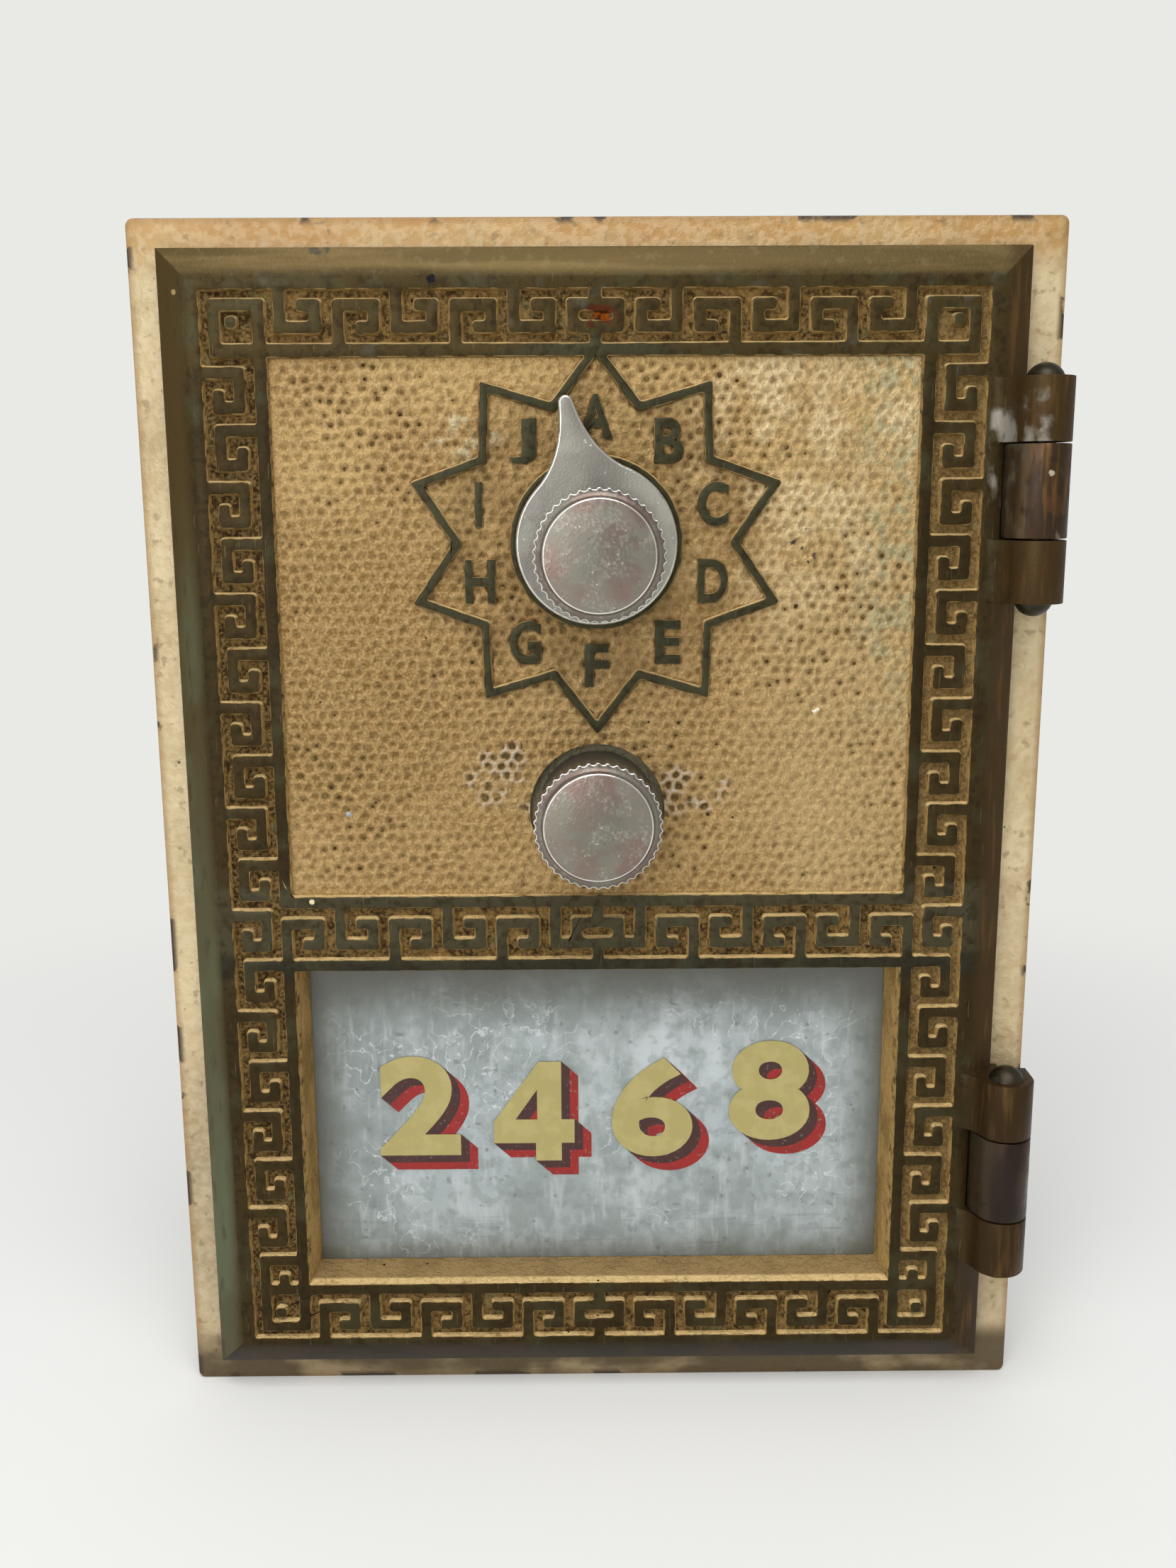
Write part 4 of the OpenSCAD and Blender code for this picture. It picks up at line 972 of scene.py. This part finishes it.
def inside_fences(faces: Sequence[Sequence[int]], fenced: set[frozenset]) -> set[int]:
    """Finds the faces inside, which an odd number of fences parts from the outside.

    Args:
        faces: the corners of each face.
        fenced: the sides, as pairs of corners, that are fences.

    Returns:
        The numbers of the faces inside.
    """
    rings = [[frozenset((face[i - 1], face[i])) for i in range(len(face))] for face in faces]
    beside: dict[frozenset, list[int]] = {}
    for i, ring in enumerate(rings):
        for side in ring:
            beside.setdefault(side, []).append(i)
    inside: dict[int, bool] = {}
    waiting = [(owners[0], side in fenced) for side, owners in beside.items() if len(owners) == 1]
    while waiting:
        i, within = waiting.pop()
        if i in inside:
            continue
        inside[i] = within
        for side in rings[i]:
            waiting += [(k, within != (side in fenced)) for k in beside[side] if k != i]
    return {i for i, within in inside.items() if within}


def make_piece(
    bm: Mesh,
    name: str,
    body: Body,
    materials: Sequence[Material],
    replaced: Sequence[str] = (),
    smooth: float = 35,
) -> bpy.types.Object:
    """Turns a mesh into a piece that rides on a body.

    Args:
        bm: the mesh, in metres, in the door's frame. It is freed.
        name: the piece's name.
        body: the body that it rides on.
        materials: the materials, in the order of the mesh's slots.
        replaced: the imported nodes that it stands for.
        smooth: edges flatter than this are shaded smooth, in degrees.

    Returns:
        The piece.
    """
    refill(bm)
    mesh = bpy.data.meshes.new(name)
    bm.to_mesh(mesh)
    bm.free()
    for material in materials:
        mesh.materials.append(material)
    mesh.shade_smooth()
    mesh.set_sharp_from_angle(angle=math.radians(smooth))
    piece = bpy.data.objects.new(name, mesh)
    show(piece)
    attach(piece, body.value)
    if replaced:
        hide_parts(*replaced)
    LOG.info("%s: %d faces on %s", name, len(mesh.polygons), body.value)
    return piece


def dress_node(node: str, material: Material) -> None:
    """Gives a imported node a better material."""
    mesh_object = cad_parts[node]
    for slot in mesh_object.material_slots:
        slot.material = material


def written(
    text: str, width: float, height: float, thickness: float, fatten: float, bevel: float = 0
) -> Mesh:
    """A flat piece of lettering, standing in X and Z with its front at Y zero.

    Args:
        text: the characters.
        width: the width that they are fitted to, in millimetres.
        height: their height, in millimetres.
        thickness: how far they reach back, in millimetres.
        fatten: how much each stroke is widened on either side, as a share of the height.
        bevel: the rounding of the front edge, in millimetres.

    Returns:
        The mesh, in metres, centred on X and Z.
    """
    curve = bpy.data.curves.new("writing", "FONT")
    curve.body = text
    curve.size = 1.0
    curve.resolution_u = 8
    curve.offset = fatten
    curve.extrude = 0.5
    holder = bpy.data.objects.new("writing", curve)
    show(holder)
    mesh = bpy.data.meshes.new_from_object(holder)
    bpy.data.objects.remove(holder)
    bpy.data.curves.remove(curve)
    bm = bmesh.new()
    bm.from_mesh(mesh)
    bpy.data.meshes.remove(mesh)
    bmesh.ops.remove_doubles(bm, verts=bm.verts, dist=1e-5)
    low = Vector([min(v.co[i] for v in bm.verts) for i in range(3)])
    high = Vector([max(v.co[i] for v in bm.verts) for i in range(3)])
    size = high - low
    stretch = Vector((width / size.x, height / size.y, thickness / size.z))
    bmesh.ops.translate(bm, verts=bm.verts, vec=-(low + high) / 2)
    bmesh.ops.scale(bm, verts=bm.verts, vec=stretch * MM)
    stand_up(bm)
    move(bm, Vector((0, thickness / 2, 0)))
    if bevel:
        in_front = LEVEL / 2 * MM
        soften(bm, bevel, 60, keep=lambda e: all(v.co.y < in_front for v in e.verts))
    return bm


# The door


@dataclass
class DoorCasting:
    """The casting: its fret and bevels, the hammered panel and the dial's letters."""

    face: float
    panel_x: float = 47.85
    panel_low: float = -7.65
    panel_high: float = 73.65
    band_x: float = 57.3
    band_low: float = -83.7
    band_high: float = 83.1
    edge_x: float = 59.2
    edge_z: float = 84.7
    leaf_x: float = 58.5
    ground: float = 1.0
    # The rounding of the worn edges and of the relief's upright corners.
    softening: float = 0.13
    corner_radius: float = 0.46
    corner_angle: float = 50
    # How far the walls stand out at the face and at the ground.
    fret_spread: tuple[float, float] = (0.12, 0.3)
    star_spread: tuple[float, float] = (0.05, 0.2)
    star_r: float = 29.5
    sharpest: float = 0.4
    # The hammer's dimples, and the ground between them.
    dimple_spacing: float = 1.85
    dimple_radius: float = 0.66
    dimple_depth: float = 0.42
    ground_lift: float = 0.26
    ridge_height: float = 0.07
    swell: float = 0.03
    fade_width: float = 1.2
    mesh_step: float = 0.36
    # The dial and the finger knob.
    dial_z: float = 46.75
    latch_z: float = 5.9
    well_r: float = 10.4
    letter_radius: float = 18.3
    letter_height: float = 6.6
    letter_top: float = 0.3
    letter_fatten: float = 0.036
    letter_bevel: float = 0.1
    letters: str = "ABCDEFGHIJ"
    letter_widths: tuple[float, ...] = (5.0, 4.4, 4.6, 4.6, 3.9, 3.7, 4.8, 4.6, 1.1, 4.0)

    def build(self) -> None:
        """Makes every piece of the casting."""
        band = (self.band_x, self.band_low, self.band_high)
        edge = (self.edge_x, self.edge_z, self.leaf_x)
        brass = CastBrass(self.face, *band, *edge, self.dial_z, self.latch_z)
        self.casting(brass)
        self.hammered_panel()
        self.ring_of_letters(brass)

    def casting(self, brass: CastBrass) -> None:
        """The casting with its corners cast round and its edges worn."""
        bm = copy_node("door_casting")
        soften(bm, self.corner_radius, self.corner_angle, 3, keep=self.is_relief_corner)
        self.lean_walls(bm)
        soften(bm, self.softening)
        finish = [brass.material()]
        make_piece(bm, "worn_casting", Body.DOOR, finish, ["door_casting"])

    def is_relief_corner(self, edge: Edge) -> bool:
        """Whether an edge runs from the face down to the ground, with room to be rounded."""
        low = (self.face + SLACK) * MM
        high = (self.face + self.ground - SLACK) * MM
        room = (2 * self.corner_radius + SLACK) * MM
        front, back = sorted(v.co.y for v in edge.verts)
        upright = edge.calc_length() - (back - front) <= 1e-6
        if front > low or not high < back < high + 2 * SLACK * MM or not upright:
            return False
        corner = edge.verts[0].co.xz
        return all(
            max((v.co.xz - corner).length for v in face.verts) > room for face in edge.link_faces
        )

    def lean_walls(self, bm: Mesh) -> None:
        """Leans the relief's walls outwards, as a casting's draft does."""
        face_y = (self.face + SLACK) * MM
        ground_y = (self.face + self.ground + SLACK) * MM
        moves = {}
        for vert in bm.verts:
            depth = vert.co.y / MM - self.face
            place = vert.co.xz / MM
            across = abs(place.x) < self.band_x + SLACK
            along = self.band_low - SLACK < place.y < self.band_high + SLACK
            if min(abs(depth), abs(depth - self.ground)) > LEVEL or not (across and along):
                continue
            walls = [
                face.normal.xz.normalized()
                for face in vert.link_faces
                if abs(face.normal.y) < UPRIGHT
                and min(v.co.y for v in face.verts) < face_y
                and max(v.co.y for v in face.verts) < ground_y
            ]
            if not walls:
                continue
            first = walls[0]
            second = min(walls, key=first.dot)
            on_dial = (place - Vector((0, self.dial_z))).length < self.star_r
            spread = self.star_spread if on_dial else self.fret_spread
            step = spread[0] if abs(depth) < LEVEL else spread[1]
            aside = (first + second) * step / max(1 + first.dot(second), self.sharpest)
            moves[vert] = Vector((aside.x, 0, aside.y)) * MM
        for vert, step in moves.items():
            vert.co += step

    def dimples(self, x: np.ndarray, z: np.ndarray) -> tuple[np.ndarray, np.ndarray]:
        """How deep each point lies in the nearest dimple, and how near it is to a ridge.

        Args:
            x: the points' X, in millimetres.
            z: the points' Z, in millimetres.

        Returns:
            The depth from zero to one, and the ridges between dimples, from zero to one.
        """
        step = self.dimple_spacing
        row_step = step * math.sqrt(3) / 2
        row = np.round(z / row_step)
        best = np.full(x.shape, 1e9)
        second = np.full(x.shape, 1e9)
        weight = np.zeros(x.shape)
        for dr in (-1, 0, 1):
            r = row + dr
            shift = np.where(np.mod(r, 2) == 0, 0.0, step / 2)
            column = np.round((x - shift) / step)
            for dc in (-1, 0, 1):
                c = column + dc
                aside = scattered(c, r, (12.9898, 78.233, 43758.5453))
                above = scattered(c, r, (39.346, 11.135, 24634.6345))
                cx = c * step + shift + (aside - 0.5) * step * 0.5
                cz = r * row_step + (above - 0.5) * step * 0.5
                distance = np.hypot(x - cx, z - cz)
                nearer = distance < best
                second = np.where(nearer, best, np.minimum(second, distance))
                best = np.where(nearer, distance, best)
                weight = np.where(nearer, 0.55 + 0.45 * np.mod(aside + above, 1), weight)
        # Slow waves make some patches shallower than others.
        waves = np.sin(x * 0.13 + 1.1 * np.sin(z * 0.09)) * np.sin(z * 0.11 + 0.7)
        strength = weight * (0.55 + 0.45 * (0.5 + 0.5 * waves))
        depth = np.exp(-((best / self.dimple_radius) ** 2)) * strength
        ridge = 1 - np.clip((second - best) / (0.5 * step), 0, 1)
        return depth, ridge

    def panel_grid(self) -> Mesh:
        """The panel's ground, flat, with a round hole for the finger knob."""
        width = 2 * self.panel_x
        height = self.panel_high - self.panel_low
        bm = bmesh.new()
        bmesh.ops.create_grid(
            bm,
            x_segments=round(width / self.mesh_step),
            y_segments=round(height / self.mesh_step),
            size=0.5,
        )
        bmesh.ops.scale(bm, verts=bm.verts, vec=(width * MM, height * MM, 1))
        stand_up(bm)
        middle = (self.panel_high + self.panel_low) / 2
        move(bm, Vector((0, self.face + self.ground, middle)))
        centre = self.latch_z * MM
        reach = self.well_r * MM
        inside = [v for v in bm.verts if math.hypot(v.co.x, v.co.z - centre) < reach]
        bmesh.ops.delete(bm, geom=inside, context="VERTS")
        for vert in {v for edge in bm.edges if edge.is_boundary for v in edge.verts}:
            out = Vector((vert.co.x, 0, vert.co.z - centre))
            if out.length < reach + 1.6 * self.mesh_step * MM:
                out.length = reach
                vert.co.x = out.x
                vert.co.z = centre + out.z
        return bm

    def hammered_panel(self) -> None:
        """The panel's ground, dimpled by a hammer."""
        finish = HammeredBrass(self.latch_z, self.dial_z)
        piece = make_piece(
            self.panel_grid(),
            "hammered_panel",
            Body.DOOR,
            [finish.material()],
            smooth=180,
        )
        mesh = piece.data
        points = np.empty(len(mesh.vertices) * 3)
        mesh.vertices.foreach_get("co", points)
        points = points.reshape(-1, 3)
        x = points[:, 0] / MM
        z = points[:, 2] / MM
        depth, ridge = self.dimples(x, z)
        border = np.minimum(
            self.panel_x - np.abs(x), np.minimum(self.panel_high - z, z - self.panel_low)
        )
        fade = np.clip(border / self.fade_width, 0, 1)
        swell = self.swell * np.sin(x * 0.6) * np.sin(z * 0.55)
        raised = self.ground_lift + self.ridge_height * ridge * fade + swell
        points[:, 1] -= (raised - self.dimple_depth * depth * fade) * MM
        mesh.vertices.foreach_set("co", points.ravel())
        for name, values in ((finish.pit, depth * fade), (finish.ridge, ridge * fade)):
            mesh.attributes.new(name, "FLOAT", "POINT").data.foreach_set("value", values)
        mesh.update()

    def ring_of_letters(self, brass: CastBrass) -> None:
        """The ten raised letters round the dial, each upright."""
        top = self.face + self.letter_top
        material = replace(brass, face=top, raised="#35301d", name="letter_brass").material()
        height = self.ground - self.letter_top
        for i, (letter, width) in enumerate(zip(self.letters, self.letter_widths)):
            angle = math.radians(90 - i * 360 / len(self.letters))
            bm = written(
                letter, width, self.letter_height, height, self.letter_fatten, self.letter_bevel
            )
            spot = Vector((math.cos(angle), 0, math.sin(angle))) * self.letter_radius
            move(bm, spot + Vector((0, top, self.dial_z)))
            make_piece(bm, f"letter_{letter}", Body.DOOR, [material], smooth=50)


def scattered(column: np.ndarray, row: np.ndarray, keys: tuple[float, float, float]) -> np.ndarray:
    """A fixed number from zero to one for each place in a grid, with no pattern to see."""
    wave = np.sin(column * keys[0] + row * keys[1]) * keys[2]
    return wave - np.floor(wave)


@dataclass
class Window:
    """The clouded pane and the number painted on it."""

    number: str = "2468"
    columns: tuple[float, ...] = (-29.5, -10.6, 9.0, 28.4)
    levels: tuple[float, ...] = (-45.3, -46.4, -45.8, -43.0)
    digit_width: float = 13.4
    digit_height: float = 17.5
    paint: float = 0.03
    boldness: float = 0.034
    four_outline: tuple[tuple[float, float], ...] = (
        (0.56, 1.0), (0.84, 1.0), (0.84, 0.42), (1.0, 0.42), (1.0, 0.18), (0.84, 0.18),
        (0.84, 0.0), (0.52, 0.0), (0.52, 0.18), (0.0, 0.18), (0.0, 0.4),
    )
    four_hole: tuple[tuple[float, float], ...] = ((0.54, 0.42), (0.54, 0.72), (0.27, 0.42))
    paint_lift: float = 0.2
    behind: Vector = field(default_factory=lambda: Vector((0, 0.04, 0)))
    shade_step: Vector = field(default_factory=lambda: Vector((1.4, 0.05, -1.3)))

    def build(self) -> None:
        """Makes the pane's finish and the digits with their block shade."""
        low = low_corner("window_glass")
        dress_node("window_glass", CloudedGlass(low, high_corner("window_glass")).material())
        gilt = SignPaint("gilt_paint", "#a2955a", "#b0a36a").material()
        brown = SignPaint("brown_shade", "#371410", "#45221b").material()
        red = SignPaint("red_shade", "#8d0f09", "#74120c").material()
        front = low.y - self.paint_lift
        for i, digit in enumerate(self.number):
            spot = Vector((self.columns[i], front, self.levels[i]))
            shade = spot + self.behind
            for paint, name, place, cast in (
                (gilt, "gilt", spot, None),
                (brown, "brown", shade, self.shade_step),
                (red, "red", spot + self.shade_step + self.behind, self.shade_step),
            ):
                self.digit(digit, f"digit_{i + 1}_{name}", place, paint, cast)

    def digit(
        self, digit: str, name: str, spot: Vector, paint: Material, cast: Vector | None
    ) -> None:
        """One layer of a painted digit.

        Args:
            digit: the character.
            name: the piece's name.
            spot: its centre, in millimetres.
            paint: the paint.
            cast: how far the layer is drawn out behind the digit, as a shade.
        """
        if digit == "4":
            bm = self.four()
        else:
            bm = written(digit, self.digit_width, self.digit_height, self.paint, self.boldness)
        if cast is not None:
            self.draw_out(bm, cast)
        move(bm, spot)
        make_piece(bm, name, Body.DOOR, [paint], smooth=30)

    def four(self) -> Mesh:
        """A bold four with an open triangle, as sign writers draw it.

        Returns:
            The mesh, in metres, centred on X and Z with its front at Y zero.
        """
        bm = bmesh.new()
        rims = []
        for outline in (self.four_outline, self.four_hole):
            ring = [
                bm.verts.new(
                    (
                        (x - 0.5) * self.digit_width * MM,
                        self.paint * MM,
                        (z - 0.5) * self.digit_height * MM,
                    )
                )
                for x, z in outline
            ]
            rims += [bm.edges.new((ring[i - 1], ring[i])) for i in range(len(ring))]
        fill_rims(bm, rims, Vector((0, -1, 0)))
        self.extrude(bm, bm.faces[:], Vector((0, -self.paint, 0)), keep=True)
        return bm

    def draw_out(self, bm: Mesh, cast: Vector) -> None:
        """Draws a flat layer out along a line, as a block shade."""
        others = [f for f in bm.faces if f.normal.y >= -0.5]
        bmesh.ops.delete(bm, geom=others, context="FACES")
        self.extrude(bm, bm.faces[:], cast, keep=False)

    def extrude(self, bm: Mesh, faces: Sequence[Face], step: Vector, keep: bool) -> None:
        """Extrudes flat faces by a step in millimetres.

        Args:
            bm: the mesh.
            faces: the faces.
            step: how far they go.
            keep: whether the faces also stay where they were.
        """
        made = bmesh.ops.extrude_face_region(bm, geom=faces, use_keep_orig=keep)
        moved = [g for g in made["geom"] if isinstance(g, bmesh.types.BMVert)]
        bmesh.ops.translate(bm, verts=moved, vec=step * MM)
        bmesh.ops.recalc_face_normals(bm, faces=bm.faces)


@dataclass
class Hardware:
    """The hinges, the knobs, the pointer and the thin plate."""

    latch_z: float = 5.9
    plate_softening: float = 0.25
    barrel_softening: float = 0.18
    pointer_softening: float = 0.35
    knob_softening: float = 0.16
    knob_front: float = 1.2

    def build(self) -> None:
        """Dresses every piece of the hardware that shows in front."""
        self.plate()
        self.hinges()
        self.pointer()
        self.knobs()

    def plate(self) -> None:
        """The front plate with its collar."""
        low = low_corner("frame_plate")
        high = high_corner("frame_plate")
        lacquer = WornLacquer(low.x, high.x, low.z, high.z, low.y).material()
        bm = copy_node("frame_plate")
        soften(bm, self.plate_softening)
        make_piece(bm, "worn_plate", Body.FRAME, [lacquer], ["frame_plate"])

    def hinges(self) -> None:
        """The frame's knuckles and the pins."""
        browned = BrownedBrass().material()
        blackened = PlainMetal("blackened_steel", "#2b2619", "#4b4330", 0.7, 0.4).material()
        for end in ("upper", "lower"):
            node = f"{end}_frame_knuckle"
            bm = copy_node(node)
            soften(bm, self.barrel_softening)
            make_piece(bm, f"worn_{node}", Body.FRAME, [browned], [node])
            dress_node(f"{end}_hinge_pin", blackened)

    def pointer(self) -> None:
        """The pointer plate with its bright edge."""
        bright = PlainMetal("burnished_edge", "#cfcdc4", "#b9b6ac", 0.85, 0.22).material()
        blasted = BlastedAluminium().material()
        bm = copy_node("pointer_plate")
        soften(bm, self.pointer_softening, segments=3, material=1)
        make_piece(
            bm, "blasted_pointer", Body.DIAL, [blasted, bright], ["pointer_plate"]
        )

    def knobs(self) -> None:
        """The dial's knob and the finger knob, each with a bright front rim."""
        bright = PlainMetal("burnished_rim", "#e4e2dc", "#bdb9ae", 0.8, 0.2).material()
        middle = (low_corner("dial_knob") + high_corner("dial_knob")) / 2
        for node, body, centre in (
            ("dial_knob", Body.DIAL, (middle.x, middle.z)),
            ("latch_knob", Body.LATCH, (0.0, self.latch_z)),
        ):
            turned = TurnedAluminium(centre).material()
            front = (low_corner(node).y + self.knob_front) * MM

            def on_rim(edge: Edge, front: float = front) -> bool:
                """Whether an edge stands out in front."""
                return edge.is_convex and all(v.co.y < front for v in edge.verts)

            def behind(edge: Edge, front: float = front) -> bool:
                """Whether an edge reaches back from the front."""
                return any(v.co.y > front for v in edge.verts)

            bm = copy_node(node)
            soften(bm, self.knob_softening, material=1, keep=on_rim)
            soften(bm, self.knob_softening / 2, keep=behind)
            make_piece(bm, f"turned_{node}", body, [turned, bright], [node])


@dataclass
class LockWorks:
    """The lock behind the door: its finishes, by what each node is made of."""

    brass_nodes: tuple[str, ...] = (
        "front_spacer", "rear_spacer", "wheel_post", "latch_bushing", "left_bolt_guide",
        "right_bolt_guide", "bridge_pillars", "bridge_plate", "drive_cam", "front_wheel",
        "middle_wheel", "rear_wheel", "latch_cam", "latch_bolt", "fence_lever",
    )
    steel_nodes: tuple[str, ...] = (
        "knuckle_screws", "retainer_screws", "guide_screws", "lever_pivot_screw",
        "bridge_screws", "post_clip", "cam_nut", "drive_pin", "front_wheel_pin",
        "middle_wheel_pins", "rear_wheel_pins", "crank_pin", "lever_pin", "dial_spindle",
        "latch_spindle",
    )

    def build(self) -> None:
        """Dresses the nodes."""
        for nodes, metal in (
            (self.brass_nodes, PlainMetal("milled_brass", "#a8843f", "#8d6b30")),
            (self.steel_nodes, PlainMetal("plain_steel", "#8c8a84", "#6f6b63", 0.9, 0.32)),
            (["glass_retainer"], PlainMetal("rolled_brass", "#94743a", "#7d5f2c", 0.85, 0.4)),
            (["latch_spring"], PlainMetal("spring_wire", "#5d5c5c", "#474646", 0.9, 0.28)),
        ):
            material = metal.material()
            for node in nodes:
                dress_node(node, material)


# The studio


@dataclass(frozen=True)
class Viewpoint:
    """Where the photograph was taken from, in the door's frame."""

    place: tuple[float, float, float] = (-2.8, -233.5, 54.9)
    turn: tuple[float, float, float] = (78.459, 0.279, -0.419)
    film_width: float = 36.0
    focal_length: float = 44.485
    nearest: float = 10.0

    def build(self) -> None:
        """Sets the scene's camera."""
        lens = bpy.data.cameras.new("photograph")
        lens.sensor_fit = "HORIZONTAL"
        lens.sensor_width = self.film_width
        lens.lens = self.focal_length
        lens.clip_start = self.nearest * MM
        camera = bpy.data.objects.new("photograph", lens)
        camera.location = Vector(self.place) * MM
        camera.rotation_euler = Euler([math.radians(a) for a in self.turn])
        show(camera)
        bpy.context.scene.camera = camera


@dataclass(frozen=True)
class Lamp:
    """A soft square light: its place and size in millimetres, its power in watts."""

    name: str
    place: tuple[float, float, float]
    size: float
    power: float


@dataclass
class Studio:
    """A pale floor that melts into a pale background, and soft light from above."""

    floor_z: float
    lamps: tuple[Lamp, ...] = (
        Lamp("ceiling", (-20, -500, 850), 700, 6.2),
        Lamp("window", (-380, -950, 260), 600, 4.2),
    )
    paper: str = "#f4f4f1"
    backdrop: str = "#e9eae6"
    sky: str = "#f4f5f6"
    sky_strength: float = 0.5
    floor_size: float = 4000
    near: float = 150
    far: float = 330

    def build(self) -> None:
        """Makes the floor, the lamps and the world."""
        bpy.context.scene.view_settings.view_transform = "Standard"
        self.floor()
        for lamp in self.lamps:
            self.light(lamp)
        self.world()

    def floor(self) -> None:
        """The floor, which the camera sees as plain background away from the door."""
        bm = bmesh.new()
        bmesh.ops.create_grid(bm, x_segments=1, y_segments=1, size=self.floor_size * MM)
        bmesh.ops.translate(bm, verts=bm.verts, vec=(0, 0, self.floor_z))
        mesh = bpy.data.meshes.new("paper_floor")
        bm.to_mesh(mesh)
        bm.free()
        mix = Finish("pale_paper")
        seen = mix.add("ShaderNodeLightPath").outputs["Is Camera Ray"]
        distance = mix.vectors("LENGTH", mix.vectors("MULTIPLY", mix.place, (1, 1, 0)))
        away = mix.both(seen, mix.ramp(distance, self.near, self.far))
        paper = mix.add(
            "ShaderNodeBsdfPrincipled", {"Base Color": linear(self.paper), "Roughness": 0.9}
        )
        plain = mix.add("ShaderNodeEmission", {"Color": linear(self.backdrop)})
        shaders = {0: away, 1: paper.outputs[0], 2: plain.outputs[0]}
        shown = mix.add("ShaderNodeMixShader", shaders)
        mix.add("ShaderNodeOutputMaterial", {"Surface": shown.outputs[0]})
        mesh.materials.append(mix.material)
        floor = bpy.data.objects.new("paper_floor", mesh)
        show(floor)
        floor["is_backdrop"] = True

    def light(self, lamp: Lamp) -> None:
        """Hangs one lamp, turned towards the door."""
        data = bpy.data.lights.new(lamp.name, "AREA")
        data.shape = "SQUARE"
        data.size = lamp.size * MM
        data.energy = lamp.power
        holder = bpy.data.objects.new(lamp.name, data)
        holder.location = Vector(lamp.place) * MM
        holder.rotation_euler = (-holder.location).to_track_quat("-Z", "Y").to_euler()
        show(holder)

    def world(self) -> None:
        """A pale sky, and the plain background that the camera sees in its place."""
        world = bpy.data.worlds.new("pale_sky")
        world.use_nodes = True
        tree = world.node_tree
        sky = tree.nodes["Background"]
        sky.inputs["Color"].default_value = linear(self.sky)
        sky.inputs["Strength"].default_value = self.sky_strength
        plain = tree.nodes.new("ShaderNodeBackground")
        plain.inputs["Color"].default_value = linear(self.backdrop)
        path = tree.nodes.new("ShaderNodeLightPath")
        shown = tree.nodes.new("ShaderNodeMixShader")
        tree.links.new(path.outputs["Is Camera Ray"], shown.inputs[0])
        tree.links.new(sky.outputs[0], shown.inputs[1])
        tree.links.new(plain.outputs[0], shown.inputs[2])
        tree.links.new(shown.outputs[0], tree.nodes["World Output"].inputs["Surface"])
        bpy.context.scene.world = world


def corners(box: Sequence[Sequence[float]]) -> list[list[float]]:
    """A box's two corners as plain lists of numbers."""
    return [[float(value) for value in corner] for corner in box]


def main() -> None:
    """Builds the looks in order."""
    logging.basicConfig(level=logging.INFO, format="%(name)s: %(message)s")
    packed = corners(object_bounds())
    Viewpoint().build()
    DoorCasting(low_corner("window_glass").y - GLASS_DEPTH).build()
    Window().build()
    Hardware().build()
    LockWorks().build()
    Studio(packed[0][2]).build()


if __name__ == "__main__":
    main()
